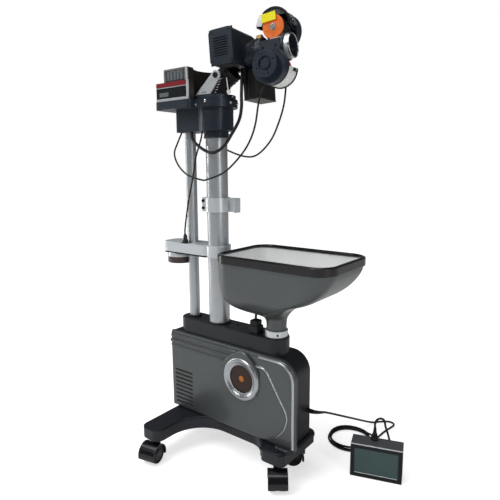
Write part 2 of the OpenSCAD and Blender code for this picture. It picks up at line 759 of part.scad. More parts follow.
base_chassis();
caster_hood(0);  // caster_hood_1
caster_hood(1);  // caster_hood_2
caster_hood(2);  // caster_hood_3
caster_hood(3);  // caster_hood_4
caster_wheels(0);  // caster_wheels_1
caster_wheels(1);  // caster_wheels_2
caster_wheels(2);  // caster_wheels_3
caster_wheels(3);  // caster_wheels_4
cabinet_body();
front_cover();
cover_ring();
top_housing();
feed_tube();
feed_wheel();
feed_motor();
power_supply();
power_switch();
mast_tube();
support_tube();
mast_clamp();
clamp_screws();
pole_bracket();
bracket_can();
hopper_shell();
hopper_rim();
hopper_collar();
hopper_plug();
hopper_cable();
gearbox_housing();
head_tray();
driver_case();
pan_motor();
pan_pinion();
turntable();
tilt_arms();
ball_hose();
head_housing();
end_cover();
drive_box();
roll_motor();
roll_pinion();
launch_frame();
barrel();
upper_motor();
lower_motor();
upper_guard();
lower_guard();
upper_wheel();
lower_wheel();
head_cable();
lower_motor_cable();
upper_motor_cable();
bracket_cable();
controller_case();
controller_screen();
controller_connector();
cord_gland();
controller_cord();
controller_cord_coil();
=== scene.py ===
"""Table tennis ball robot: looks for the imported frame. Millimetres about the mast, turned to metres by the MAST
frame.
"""
import json
import math

import bmesh
import bpy
from mathutils import Matrix, Vector


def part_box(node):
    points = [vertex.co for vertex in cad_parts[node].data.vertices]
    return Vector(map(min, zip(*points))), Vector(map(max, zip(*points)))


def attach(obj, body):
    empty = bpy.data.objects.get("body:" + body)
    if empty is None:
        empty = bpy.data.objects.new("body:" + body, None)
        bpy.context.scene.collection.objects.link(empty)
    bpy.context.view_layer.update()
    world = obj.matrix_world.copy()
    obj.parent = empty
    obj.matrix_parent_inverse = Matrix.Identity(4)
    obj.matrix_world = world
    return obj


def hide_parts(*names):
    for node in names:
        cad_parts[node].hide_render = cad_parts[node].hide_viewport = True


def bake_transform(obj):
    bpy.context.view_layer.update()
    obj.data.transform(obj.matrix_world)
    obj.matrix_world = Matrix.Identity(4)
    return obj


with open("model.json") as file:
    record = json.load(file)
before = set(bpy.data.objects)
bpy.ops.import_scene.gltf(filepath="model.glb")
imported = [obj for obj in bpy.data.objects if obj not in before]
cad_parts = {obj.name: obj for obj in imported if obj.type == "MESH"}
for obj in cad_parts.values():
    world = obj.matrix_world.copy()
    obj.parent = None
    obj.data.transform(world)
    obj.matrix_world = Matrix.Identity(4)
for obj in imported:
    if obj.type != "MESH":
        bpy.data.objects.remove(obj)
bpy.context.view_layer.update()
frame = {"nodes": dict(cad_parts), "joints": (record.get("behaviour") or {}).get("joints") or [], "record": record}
NODES = frame["nodes"]
JOINTS = {joint["name"]: joint for joint in frame["joints"]}
BODY_OF = {node: body for body, nodes in frame["record"]["behaviour"]["bodies"].items() for node in nodes}

MM = 0.001
MID_X = -JOINTS["head_pan"]["pos_m"][0] / MM
ROLL_AXIS = Vector(JOINTS["head_roll"]["axis"])
PAN = math.atan2(ROLL_AXIS.y, ROLL_AXIS.x)
PITCH = math.asin(ROLL_AXIS.z)
TILT_X = 22
TILT_Z = 897
LAUNCH_Z = 932.5
WHEEL_X = 159.5
WHEEL_OFFSET = 40.5

# Frames, all from millimetres: about the mast, turned with the head, and tilted with the head.
MAST = Matrix.Scale(MM, 4) @ Matrix.Translation((-MID_X, 0, 0))
PANNED = MAST @ Matrix.Rotation(PAN, 4, "Z")
HEAD = (PANNED @ Matrix.Translation((TILT_X, 0, TILT_Z)) @ Matrix.Rotation(-PITCH, 4, "Y")
        @ Matrix.Translation((-TILT_X, 0, -TILT_Z)))
FLIP = Matrix.Translation((0, 0, 2 * LAUNCH_Z)) @ Matrix.Rotation(math.pi, 4, "X")


# Camera -----------------------------------------------------------------------------------------------

def set_camera():
    """The view of the whole robot from its painted side, a little above the cabinet."""
    azimuth, elevation, roll = math.radians(37.75), math.radians(9.66), math.radians(-0.43)
    data = bpy.data.cameras.new("camera")
    data.lens = 35.0
    data.sensor_width = 36.0
    data.clip_end = 20
    camera = bpy.data.objects.new("camera", data)
    turn = (Matrix.Rotation(azimuth, 4, "Z") @ Matrix.Rotation(math.pi / 2 - elevation, 4, "X")
            @ Matrix.Rotation(roll, 4, "Z"))
    camera.matrix_world = Matrix.Translation(MAST @ Vector((764.6, -864.0, 697.7))) @ turn
    bpy.context.scene.collection.objects.link(camera)
    bpy.context.scene.camera = camera


set_camera()


# Materials --------------------------------------------------------------------------------------------

RELIEF_DEPTH = 0.0004


def surface(name, colour, rough, metal=0.0, grain=900, bump=0.04, tint=0.12, stretch=(1, 1, 1), coat=0.0,
            speckle=0.0, edge=0.0008, clear=0.0, wear=0.0):
    """A material with fine grain, uneven gloss and colour, softened edges, and light wear on its corners."""
    made = bpy.data.materials.new(name)
    made.use_nodes = True
    nodes, links = made.node_tree.nodes, made.node_tree.links
    shader = nodes["Principled BSDF"]
    shader.inputs["Metallic"].default_value = metal
    shader.inputs["Coat Weight"].default_value = coat
    shader.inputs["Coat Roughness"].default_value = 0.08
    shader.inputs["Specular IOR Level"].default_value = 0.32
    place_node = nodes.new("ShaderNodeTexCoord")
    mapping = nodes.new("ShaderNodeMapping")
    mapping.inputs["Scale"].default_value = stretch
    links.new(place_node.outputs["Object"], mapping.inputs["Vector"])

    def noise(scale, detail):
        made_noise = nodes.new("ShaderNodeTexNoise")
        made_noise.inputs["Scale"].default_value = scale
        made_noise.inputs["Detail"].default_value = detail
        links.new(mapping.outputs["Vector"], made_noise.inputs["Vector"])
        return made_noise.outputs["Fac"]

    def spread(source, low, high):
        made_range = nodes.new("ShaderNodeMapRange")
        made_range.inputs["From Min"].default_value = 0.3
        made_range.inputs["From Max"].default_value = 0.7
        made_range.inputs["To Min"].default_value = low
        made_range.inputs["To Max"].default_value = high
        links.new(source, made_range.inputs["Value"])
        return made_range.outputs["Result"]

    def blended(factor, first, second):
        mix = nodes.new("ShaderNodeMix")
        mix.data_type = "RGBA"
        links.new(factor, mix.inputs["Factor"])
        for socket, value in ((6, first), (7, second)):
            if hasattr(value, "default_value"):
                links.new(value, mix.inputs[socket])
            else:
                mix.inputs[socket].default_value = (*value, 1)
        return mix.outputs[2]

    fine = noise(grain, 3)
    broad = noise(14, 4)
    dark = tuple(c * (1 - tint) for c in colour)
    light = tuple(min(1, c * (1 + tint)) for c in colour)
    tone = blended(spread(broad, 0, 1), dark, light)
    if speckle:
        tone = blended(spread(fine, 0, speckle), tone, tuple(min(1, c * 2.2 + 0.02) for c in colour))
    if wear:
        geometry = nodes.new("ShaderNodeNewGeometry")
        ridge = nodes.new("ShaderNodeMapRange")
        ridge.inputs["From Min"].default_value = 0.52
        ridge.inputs["From Max"].default_value = 0.62
        ridge.inputs["To Max"].default_value = wear
        links.new(geometry.outputs["Pointiness"], ridge.inputs["Value"])
        tone = blended(ridge.outputs["Result"], tone, tuple(min(1, c * 1.8 + 0.03) for c in colour))
    links.new(tone, shader.inputs["Base Color"])
    links.new(spread(fine, rough * 0.85, min(1, rough * 1.15)), shader.inputs["Roughness"])
    rounded = nodes.new("ShaderNodeBevel")
    rounded.samples = 4
    rounded.inputs["Radius"].default_value = edge
    relief = nodes.new("ShaderNodeBump")
    relief.inputs["Strength"].default_value = min(1, bump * 6)
    relief.inputs["Distance"].default_value = RELIEF_DEPTH
    links.new(fine, relief.inputs["Height"])
    links.new(rounded.outputs["Normal"], relief.inputs["Normal"])
    links.new(relief.outputs["Normal"], shader.inputs["Normal"])
    if clear:
        shader.inputs["Transmission Weight"].default_value = clear
        shader.inputs["IOR"].default_value = 1.49
    return made


GUNMETAL = surface("gunmetal_paint", (0.082, 0.09, 0.09), 0.36, 0.6, grain=2600, bump=0.02, speckle=0.35,
                   coat=0.25, tint=0.07)
# Silver colour for the cover's rounded lip and raised panel edges: painted highlight, standing for the light those
# edges catch.
HIGHLIGHT_SILVER = surface("silver_painted_highlight", (0.52, 0.54, 0.55), 0.26, 0.85, grain=2400, bump=0.01, coat=0.3, tint=0.04)
CABINET_BLACK = surface("cabinet_black", (0.010, 0.011, 0.014), 0.44, grain=1500, bump=0.05, coat=0.1, wear=0.2)
SATIN_BLACK = surface("satin_black", (0.011, 0.013, 0.018), 0.36, grain=1700, coat=0.15, wear=0.25)
MOULDED_BLACK = surface("moulded_black", (0.012, 0.012, 0.013), 0.5, grain=1200, bump=0.07, wear=0.15)
GLOSS_BLACK = surface("gloss_black", (0.005, 0.005, 0.007), 0.2, grain=700, bump=0.01, coat=0.35)
TYRE = surface("caster_tyre", (0.014, 0.015, 0.017), 0.55, bump=0.08, wear=0.2)
BRUSHED_TUBE = surface("anodised_tube", (0.50, 0.525, 0.545), 0.36, 0.78, grain=420, bump=0.012, tint=0.05,
                       stretch=(1, 1, 0.02), edge=0.0003)
BRUSHED_PLATE = surface("brushed_plate", (0.66, 0.70, 0.73), 0.36, 0.45, grain=500, bump=0.015, tint=0.06,
                        stretch=(0.03, 1, 1))
MACHINED = surface("machined_silver", (0.70, 0.73, 0.75), 0.32, 0.55, grain=700, bump=0.01, tint=0.05,
                   stretch=(0.05, 1, 1))
DARK_STEEL = surface("dark_steel", (0.03, 0.03, 0.032), 0.35, 0.7, bump=0.03)
BRIGHT_STEEL = surface("bright_steel", (0.66, 0.66, 0.66), 0.18, 1.0, bump=0.01)
MOTOR_STEEL = surface("motor_steel", (0.35, 0.36, 0.37), 0.34, 0.9, grain=600, bump=0.02)
BRASS = surface("brass", (0.62, 0.45, 0.2), 0.3, 0.95, grain=500, bump=0.02)
BRIGHT_RING = surface("bright_ring", (0.47, 0.49, 0.51), 0.28, 0.9, bump=0.01, tint=0.05)
BOWL_WHITE = surface("bowl_white", (0.92, 0.93, 0.93), 0.4, bump=0.015, tint=0.02)
CHANNEL_WHITE = surface("channel_white", (0.74, 0.74, 0.71), 0.35, bump=0.02, tint=0.03)
CASE_BROWN = surface("case_brown_black", (0.045, 0.038, 0.033), 0.4, 0.4, grain=1300, bump=0.05, wear=0.2)
DARK_RED = surface("dark_red_band", (0.20, 0.008, 0.016), 0.4, bump=0.02)
LABEL_BLACK = surface("black_label", (0.010, 0.013, 0.013), 0.25, bump=0.01, coat=0.3)
GRILLE_GREY = surface("grille_grey", (0.12, 0.137, 0.15), 0.5, 0.3)
GRILLE_DARK = surface("grille_dark", (0.032, 0.036, 0.037), 0.5, 0.3)
HOUSING_BLUE_BLACK = surface("housing_blue_black", (0.017, 0.025, 0.037), 0.4, 0.2, grain=1900, bump=0.05, coat=0.1,
                             wear=0.3)
DRUM_BLACK = surface("drum_black", (0.018, 0.027, 0.040), 0.38, 0.2, grain=1300, bump=0.03, wear=0.25)
HOSE_RUBBER = surface("hose_rubber", (0.011, 0.011, 0.012), 0.5, bump=0.05)
CABLE_RUBBER = surface("cable_rubber", (0.008, 0.008, 0.009), 0.42, grain=1600, bump=0.03, edge=0.0002)
ORANGE = surface("orange_wheel", (0.95, 0.19, 0.025), 0.42, tint=0.1)
YELLOW_TAG = surface("yellow_tag", (1.0, 0.88, 0.01), 0.45, bump=0.01, tint=0.03)
GUARD_WHITE = surface("guard_white", (0.84, 0.84, 0.82), 0.3, bump=0.02, tint=0.05, coat=0.3)
GUARD_CLEAR = surface("guard_clear", (0.86, 0.90, 0.94), 0.08, grain=400, bump=0.004, tint=0.02, clear=0.92)
SCALE_WHITE = surface("scale_white", (0.78, 0.79, 0.77), 0.4, bump=0.01, tint=0.02)
POINTER_CREAM = surface("pointer_cream", (0.80, 0.80, 0.70), 0.4, bump=0.01, tint=0.04)
COPPER_DARK = surface("dark_copper", (0.035, 0.015, 0.011), 0.35, 0.5, grain=700, bump=0.02, coat=0.3)
AMBER = surface("amber_inlay", (0.55, 0.17, 0.03), 0.3, 0.4, grain=700, bump=0.01)
CAN_BROWN = surface("can_brown", (0.075, 0.055, 0.055), 0.42, 0.3, bump=0.06)
CONTROLLER_GREY = surface("controller_grey", (0.12, 0.125, 0.135), 0.36, 0.5, grain=1800, bump=0.03, speckle=0.2)
BEZEL_BLACK = surface("bezel_black", (0.005, 0.008, 0.010), 0.42, grain=1200, bump=0.01)
SCREEN = surface("screen_glass", (0.045, 0.085, 0.085), 0.3, grain=300, bump=0.003, tint=0.08, coat=0.3)
SWITCH_RED = surface("switch_red", (0.42, 0.02, 0.015), 0.3, bump=0.01)
WHEEL_RUBBER = surface("wheel_rubber", (0.02, 0.02, 0.02), 0.6, grain=1100, bump=0.1)
FLOOR = surface("floor", (0.86, 0.86, 0.86), 0.75, grain=60, bump=0.002, tint=0.01, edge=0.0001)


# Mesh helpers -----------------------------------------------------------------------------------------

def shade(shape, smooth_angle):
    """Smooth faces, with sharp edges where they turn by more than the angle."""
    limit = math.radians(smooth_angle)
    for face in shape.faces:
        face.smooth = True
    for rim in shape.edges:
        rim.smooth = len(rim.link_faces) == 2 and rim.calc_face_angle(4) < limit


def finish_mesh(name, shape, material, matrix=MAST, smooth_angle=38):
    """A new object from a bmesh in millimetres, shaded smooth below the given angle."""
    mesh = bpy.data.meshes.new(name)
    bmesh.ops.recalc_face_normals(shape, faces=shape.faces)
    shape.transform(matrix)
    shade(shape, smooth_angle)
    shape.to_mesh(mesh)
    shape.free()
    made = bpy.data.objects.new(name, mesh)
    bpy.context.scene.collection.objects.link(made)
    mesh.materials.append(material)
    return made


def settle(piece, body, replaced=()):
    """The piece rides on its body and may stand for CAD nodes. Its flat faces shade flat."""
    flat = piece.modifiers.new("flat_faces", "WEIGHTED_NORMAL")
    flat.keep_sharp = True
    flat.weight = 100
    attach(piece, body)
    if replaced:
        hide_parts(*replaced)
    return piece


def soften(piece, width, segments=2, angle=32):
    """Rounds the piece's edges in its mesh."""
    bevel = piece.modifiers.new("edges", "BEVEL")
    bevel.width = width * MM
    bevel.segments = segments
    bevel.limit_method = "ANGLE"
    bevel.angle_limit = math.radians(angle)
    bevel.use_clamp_overlap = True
    bevel.miter_outer = "MITER_ARC"
    return piece


def rounded_copy(node, width, material, segments=2):
    """A copy of a CAD node with rounded edges, which stands for it."""
    shape = bmesh.new()
    shape.from_mesh(NODES[node].data)
    bmesh.ops.remove_doubles(shape, verts=shape.verts, dist=1e-6)
    bmesh.ops.dissolve_limit(shape, angle_limit=math.radians(0.6), verts=shape.verts, edges=shape.edges)
    piece = finish_mesh(node + "_shell", shape, material, Matrix.Identity(4))
    soften(piece, width, segments)
    return settle(piece, BODY_OF[node], [node])


def paint(node, material):
    """A CAD node that is shown keeps its mesh and gets this material."""
    data = NODES[node].data
    data.materials.clear()
    data.materials.append(material)


def level_point(point, level, axis):
    """A flat outline's point at a level: in X and Z for axis Y, in X and Y for axis Z."""
    return (point[0], level, point[1]) if axis == "Y" else (point[0], point[1], level)


def stitch(shape, first, second, back=False):
    """Faces between two rings of as many points. back turns them over."""
    for k in range(len(first)):
        m = (k + 1) % len(first)
        shape.faces.new([first[k], second[k], second[m], first[m]] if back else
                        [first[k], first[m], second[m], second[k]])


def box_matrix(low, high):
    """What turns a unit cube into the box between two corners."""
    size = [b - a for a, b in zip(low, high)]
    middle = [(a + b) / 2 for a, b in zip(low, high)]
    return Matrix.Translation(middle) @ Matrix.Diagonal((*size, 1))


def ring_points(profile, steps, axis="Z", centre=(0, 0, 0), start=0.0, sweep=360.0):
    """A lathe of (radius, height) points about an axis, closed all round or an open sweep with ends."""
    shape = bmesh.new()
    closed = abs(sweep - 360) < 1e-6
    count = steps if closed else steps + 1
    rows = []
    for i in range(count):
        a = math.radians(start + sweep * i / steps)
        row = []
        for radius, height in profile:
            u, v = radius * math.cos(a), radius * math.sin(a)
            point = {"Z": (u, v, height), "Y": (u, height, v), "X": (height, u, v)}[axis]
            row.append(shape.verts.new(Vector(point) + Vector(centre)))
        rows.append(row)
    for i in range(steps):
        stitch(shape, rows[i], rows[(i + 1) % count])
    if not closed:
        shape.faces.new(rows[0])
        shape.faces.new(rows[-1])
    bmesh.ops.remove_doubles(shape, verts=shape.verts, dist=1e-5)
    return shape


def lathe(name, profile, material, body, axis="Z", centre=(0, 0, 0), matrix=MAST, steps=64, start=0.0,
          sweep=360.0, replaced=()):
    """A turned piece. The profile is a closed outline of (radius, height)."""
    shape = ring_points(profile, steps, axis, centre, start, sweep)
    return settle(finish_mesh(name, shape, material, matrix), body, replaced)


def disc_profile(r, low, high, edge):
    """Outline of a solid disc with a rounded rim."""
    return [(0, low), (r - edge, low), (r - edge * 0.3, low + edge * 0.3), (r, low + edge), (r, high - edge),
            (r - edge * 0.3, high - edge * 0.3), (r - edge, high), (0, high)]


def tube_profile(outer, inner, low, high, edge=0.6):
    """Outline of a ring with softened corners."""
    return [(inner, low + edge), (inner + edge, low), (outer - edge, low), (outer, low + edge),
            (outer, high - edge), (outer - edge, high), (inner + edge, high), (inner, high - edge)]


def block(name, low, high, material, body, edge=0.6, matrix=MAST):
    """A rounded block between two corners."""
    shape = bmesh.new()
    bmesh.ops.create_cube(shape, size=1)
    shape.transform(box_matrix(low, high))
    bmesh.ops.bevel(shape, geom=shape.edges[:], offset=edge, segments=2, profile=0.6, affect="EDGES")
    return settle(finish_mesh(name, shape, material, matrix, 60), body)


def curve_point(a, b, c, d, t):
    """A point of the curve between b and c, at t from 0 to 1."""
    return 0.5 * (2 * b + (c - a) * t + (2 * a - 5 * b + 4 * c - d) * t * t + (3 * b - a - 3 * c + d) * t ** 3)


def smooth_route(points, steps):
    """The same smooth curve through a route's points as the frame's cords follow."""
    p = [Vector(q) for q in points]
    last = len(p) - 1
    out = []
    for i in range(last):
        for k in range(steps):
            out.append(curve_point(p[max(i - 1, 0)], p[i], p[i + 1], p[min(i + 2, last)], k / steps))
    return out + [p[-1]]


def swept(route, radius, sides=12):
    """A tube along a route with ends, as a bmesh. radius may be a function of the ring's number."""
    shape = bmesh.new()
    rows = []
    side = Vector((0.2, 0.9, 0.4))
    last = len(route) - 1
    for i, centre in enumerate(route):
        ahead = (route[min(i + 1, last)] - route[max(i - 1, 0)]).normalized()
        side = (side - ahead * side.dot(ahead)).normalized()
        up = ahead.cross(side)
        r = radius(i) if callable(radius) else radius
        turn = [2 * math.pi * k / sides for k in range(sides)]
        rows.append([shape.verts.new(centre + r * (math.cos(a) * side + math.sin(a) * up)) for a in turn])
    for first, second in zip(rows, rows[1:]):
        stitch(shape, first, second, back=True)
    shape.faces.new(rows[0])
    shape.faces.new(rows[-1][::-1])
    return shape


def bead(name, route, radius, material, body, matrix=MAST, steps=6, sides=12):
    """A raised line or thin rod along a route."""
    shape = swept(smooth_route(route, steps), radius, sides)
    return settle(finish_mesh(name, shape, material, matrix, 60), body)


def plate(name, outline, low, high, material, body, matrix=MAST, edge=0.4):
    """A flat plate from an outline in X and Z, between two levels of Y."""
    shape = bmesh.new()
    first, second = ([shape.verts.new(level_point(p, level, "Y")) for p in outline] for level in (low, high))
    shape.faces.new(first)
    shape.faces.new(second[::-1])
    stitch(shape, first, second)
    piece = finish_mesh(name, shape, material, matrix)
    soften(piece, edge, 2, 40)
    return settle(piece, body)


def band(name, outer, inner, low, high, material, body, matrix=MAST, edge=0.4, replaced=(), axis="Z",
         segments=3):
    """A band between two outlines with as many points."""
    shape = bmesh.new()
    rows = [[shape.verts.new(level_point(p, level, axis)) for p in line]
            for line, level in ((outer, low), (outer, high), (inner, high), (inner, low))]
    for first, second in zip(rows, rows[1:] + rows[:1]):
        stitch(shape, first, second)
    piece = finish_mesh(name, shape, material, matrix)
    soften(piece, edge, segments, 40)
    return settle(piece, body, replaced)


def arc(cx, cy, r, start, end, count):
    """Points of an arc, in degrees."""
    return [(cx + r * math.cos(math.radians(start + (end - start) * i / count)),
             cy + r * math.sin(math.radians(start + (end - start) * i / count))) for i in range(count + 1)]


def rounded_rect(x0, y0, x1, y1, r, count=8):
    """Outline of a rectangle with round corners, counter-clockwise."""
    return (arc(x1 - r, y1 - r, r, 0, 90, count) + arc(x0 + r, y1 - r, r, 90, 180, count)
            + arc(x0 + r, y0 + r, r, 180, 270, count) + arc(x1 - r, y0 + r, r, 270, 360, count))


def screw(name, place, direction, r, body, material=DARK_STEEL, matrix=MAST, tall=1.6):
    """A domed socket-head screw that stands out along a direction."""
    outline = [(0, 0), (r, 0), (r, tall * 0.6), (r * 0.86, tall * 0.92), (r * 0.62, tall), (r * 0.5, tall),
               (r * 0.46, tall * 0.35), (0, tall * 0.35)]
    shape = ring_points(outline, 18)
    turn = Vector((0, 0, 1)).rotation_difference(Vector(direction)).to_matrix().to_4x4()
    shape.transform(Matrix.Translation(place) @ turn)
    return settle(finish_mesh(name, shape, material, matrix), body)


# Cords and cables -------------------------------------------------------------------------------------

CORD_R = 2.5
HEAD_CABLE_R = 3.5
MOTOR_CABLE_R = 2
HOPPER_CABLE_R = 3
CORD_ROUTE = [(247, 32, 150), (256, 42, 147), (258, 70, 136), (259, 130, 104), (260, 200, 66), (261, 270, 28),
              (264, 306, 9), (272, 322, 3), (284, 335, 3), (295, 345.5, 3), (305.5, 351, 3), (314, 350.6, 3),
              (320.2, 345.6, 3), (322.2, 337.6, 3), (320.5, 326, 3), (317.5, 310, 3), (314, 288, 3), (312, 262, 3),
              (308, 236, 3)]
TAIL_ROUTE = [(283, 259, 4), (297, 252, 7), (311, 244, 9), (326, 233, 6), (345, 217, 3), (366, 198, 3),
              (382, 180, 6), (388, 165, 22), (386, 154, 55), (381.5, 146.5, 86), (377.5, 139.5, 107),
              (375.9, 137, 119), (373.6, 134.5, 127.3), (367.9, 128.5, 130.7), (362.2, 122.5, 127.3),
              (359.9, 120, 119), (360, 120, 107), (360, 120, 96)]
COIL_CENTRE = (257, 209)
COIL_TURNS = 3
HEAD_ROUTE = [(81, -3, 908), (88, -14, 888), (95, -24, 866), (99, -30, 846), (102, -34, 823), (97, -36, 797),
              (78, -38, 769), (57, -40, 744), (30, -40, 731), (5, -38, 733), (-29, -34, 749), (-50, -28, 764),
              (-56, -24, 780)]
LOWER_ROUTE = [(149, -19, 862), (142, -21, 843), (137, -22, 825), (132, -26, 785), (121, -32, 751),
               (100, -38, 721), (61, -44, 688), (10, -46, 671), (-12, -46, 671), (-55, -44, 682),
               (-88, -40, 705), (-103, -36, 732), (-98, -28, 758), (-90, -22, 780)]
UPPER_ROUTE = [(144, 66, 950), (150, 65, 925), (152, 62, 895), (152, 58, 860), (150, 54, 830), (140, 50, 795),
               (120, 48, 757), (87, 44, 727), (54, 42, 722), (6, 38, 736), (-40, 28, 762), (-52, 24, 780)]
BRACKET_ROUTE = [(-14, -32, 780), (-22, -28, 764), (-32, -26, 745), (-40, -28, 722), (-51, -30, 671),
                 (-68, -30, 612), (-85, -26, 550), (-87, -24, 531)]
HOPPER_ROUTE = [(119, -10, 354), (119, -10, 362), (121, -9, 372), (124, -8, 381)]


def metres(points):
    """A route about the mast as points in the frame."""
    return [MAST @ Vector(p) for p in points]


def rubber_tube(name, path, r):
    """A cable's tube along a path in metres."""
    return finish_mesh(name, swept(path, r * MM), CABLE_RUBBER, Matrix.Identity(4), 70)


def run_length(points):
    return sum((b - a).length for a, b in zip(points, points[1:]))


def coil_points():
    """The controller cord's turns, wound clockwise inwards and then out again over themselves."""
    start, end = (math.degrees(math.atan2(p[1] - COIL_CENTRE[1], p[0] - COIL_CENTRE[0]))
                  for p in (CORD_ROUTE[-1], TAIL_ROUTE[0]))
    total = start - (end - 360) + 360 * (COIL_TURNS - 1)
    steps = 26 * COIL_TURNS
    # Part of the way round, radius, height.
    stops = ((0, 57.7, 3), (0.62, 47.4, 3), (0.74, 47.6, 8.2), (0.92, 53.5, 8.6), (1, 56.4, 4.4))
    points = []
    for i in range(1, steps):
        t = i / steps
        k = next(n for n in range(len(stops) - 1) if t <= stops[n + 1][0])
        (t0, r0, z0), (t1, r1, z1) = stops[k], stops[k + 1]
        part = (t - t0) / (t1 - t0)
        r, z = r0 + (r1 - r0) * part, z0 + (z1 - z0) * part
        a = math.radians(start - total * t)
        points.append((COIL_CENTRE[0] + r * math.cos(a), COIL_CENTRE[1] + r * math.sin(a), z))
    return points


def cord(name, route, r, body, replaced=()):
    """A cord that rides on one body."""
    path = metres(route)
    piece = rubber_tube(name, path, r)
    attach(piece, body)
    if replaced:
        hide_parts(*replaced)
    return piece


def crossing_cable(name, route, r, node, splits, pairs):
    """A cable that hangs across joints: one stretch for each joint."""
    path = metres(smooth_route(route, 5))
    total = run_length(path)
    marks = [0] + splits + [1]
    gone = 0
    places = []
    for a, b in zip(path, path[1:]):
        places.append(gone / total)
        gone += (b - a).length
    places.append(1)
    for i, (first, second) in enumerate(pairs):
        part = [p for p, s in zip(path, places) if marks[i] - 1e-6 <= s <= marks[i + 1] + 1e-6]
        if i:
            part = [previous_end] + part
        previous_end = part[-1]
        piece = rubber_tube(f"{name}_{i + 1}", part, r)
        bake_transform(piece)
        if i == 0:
            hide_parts(node)


def make_cords():
    """The free cords, and the cables that hang across the head's joints."""
    whole = smooth_route(CORD_ROUTE, 4) + coil_points() + smooth_route(TAIL_ROUTE, 4)
    cord("controller_lead", whole, CORD_R, "base",
         ["controller_cord", "controller_cord_coil"])
    cord("bracket_lead", smooth_route(BRACKET_ROUTE, 5), MOTOR_CABLE_R, "base",
         ["bracket_cable"])
    hopper = rubber_tube("hopper_lead", metres(smooth_route(HOPPER_ROUTE, 5)), HOPPER_CABLE_R)
    settle(hopper, "base", ["hopper_cable"])
    crossing_cable("head_lead", HEAD_ROUTE, HEAD_CABLE_R, "head_cable", [0.42],
                   [("head", "turntable"), ("turntable", "base")])
    roll_tilt_pan = [("launcher", "head"), ("head", "turntable"), ("turntable", "base")]
    crossing_cable("lower_motor_lead", LOWER_ROUTE, MOTOR_CABLE_R, "lower_motor_cable", [0.3, 0.52], roll_tilt_pan)
    crossing_cable("upper_motor_lead", UPPER_ROUTE, MOTOR_CABLE_R, "upper_motor_cable", [0.4, 0.62], roll_tilt_pan)


make_cords()


# Base and casters -------------------------------------------------------------------------------------

SIDES = (("front", -1), ("back", 1))
BEAD_Z = 82.6
CASTER_AXLE = (20, 0, 21)


def make_base():
    """The chassis with the raised beads on its top, and the four casters."""
    rounded_copy("base_chassis", 3.2, SATIN_BLACK, 3)
    for name, side in SIDES:
        route = [(-61, side * 150, 82.4), (-60, side * 135, BEAD_Z)]
        route += [(x, side * y, BEAD_Z) for x, y in arc(35, 121, 94.5, 180, 270, 12)]
        bead(f"base_bead_{name}", route, 2.2, SATIN_BLACK, "base")
        foot = [(120, side * 36, 82.4)] + [(x, side * y, BEAD_Z) for x, y in arc(121, 81, 54, 290, 350, 8)]
        foot += [(x, side * y, BEAD_Z) for x, y in ((178, 66), (190, 68.5), (216, 68.5), (228, 62))]
        bead(f"foot_bead_{name}", foot, 1.8, SATIN_BLACK, "base")
    for i in range(1, 5):
        make_caster(i)


def make_caster(i):
    """Glossy twin-wheel caster. Its own frame trails along X from the stem."""
    low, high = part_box(f"caster_wheels_{i}")
    centre = (Vector(low) + Vector(high)) / 2
    stem = Vector(JOINTS[f"caster_swivel_{i}"]["pos_m"])
    turn = math.atan2(centre.y - stem.y, centre.x - stem.x)
    own = Matrix.Translation((stem.x, stem.y, 0)) @ Matrix.Rotation(turn, 4, "Z") @ Matrix.Scale(MM, 4)
    hood, wheels = f"caster_{i}", f"caster_wheels_{i}"
    rounded_copy(f"caster_hood_{i}", 1.2, GLOSS_BLACK, 3)
    tread = [(15, 0.4), (19, 0), (20.4, 0.8), (21, 2.4), (21, 14.2), (20.4, 15.8), (19, 16.6), (15, 16.2)]
    cap = [(0, -1.1), (9, -1.1), (12.5, -0.4), (14.2, 0.8), (14.4, 2.4), (3, 3), (0, 3)]

    def turned(name, profile, material, steps, replaced=()):
        lathe(name, profile, material, wheels, "Y", CASTER_AXLE, own, steps, replaced=replaced)

    for name, side, start in (("left", -1, -20), ("right", 1, 3.4)):
        turned(f"caster_tread_{i}_{name}", [(r, start + y) for r, y in tread], TYRE, 48,
               [wheels] if side < 0 else ())
        turned(f"caster_core_{i}_{name}",
               [(3, start + 1), (15.4, start + 1), (15.4, start + 15.6), (3, start + 15.6)], MOULDED_BLACK, 40)
        outer = start if side < 0 else start + 16.6
        turned(f"caster_cap_{i}_{name}", [(r, outer - side * y) for r, y in cap], GLOSS_BLACK, 40)
        ring = [(17.4, outer + side * 0.5), (18.4, outer + side * 0.5), (18.4, outer - side), (17.4, outer - side)]
        turned(f"caster_groove_{i}_{name}", ring, MOULDED_BLACK, 40)
    turned(f"caster_axle_{i}", disc_profile(3, -5, 5, 0.3), BRIGHT_STEEL, 20)
    lathe(f"caster_washer_{i}", tube_profile(11, 4.2, 53.4, 55.6, 0.4), DARK_STEEL, hood, "Z",
          (0, 0, 0), own, 36)


# Cabinet ----------------------------------------------------------------------------------------------

BASE_TOP = 82
CABINET_TOP = 287
TOP_ARC = 45
SMALL_ARC = 4
EDGE_STEPS = 5
COVER_Y = -41.6
RING_X, RING_Z = 101.7, 217
SLOT_Z = [97 + 10.8 * k for k in range(9)]
HOUSING_TOP = 324
SUPPORT_X = -83.6
NECK_X = 169.5


def cabinet_outline(x0, x1, inset):
    """Outline in X and Z with a large round corner at the top right."""
    low, high, r = BASE_TOP + inset, CABINET_TOP - inset, max(SMALL_ARC - inset, 0.4)
    big = TOP_ARC - inset
    return (arc(x1 - inset - big, high - big, big, 0, 90, 24) + arc(x0 + inset + r, high - r, r, 90, 180, 5)
            + arc(x0 + inset + r, low + r, r, 180, 270, 5) + arc(x1 - inset - r, low + r, r, 270, 360, 5))


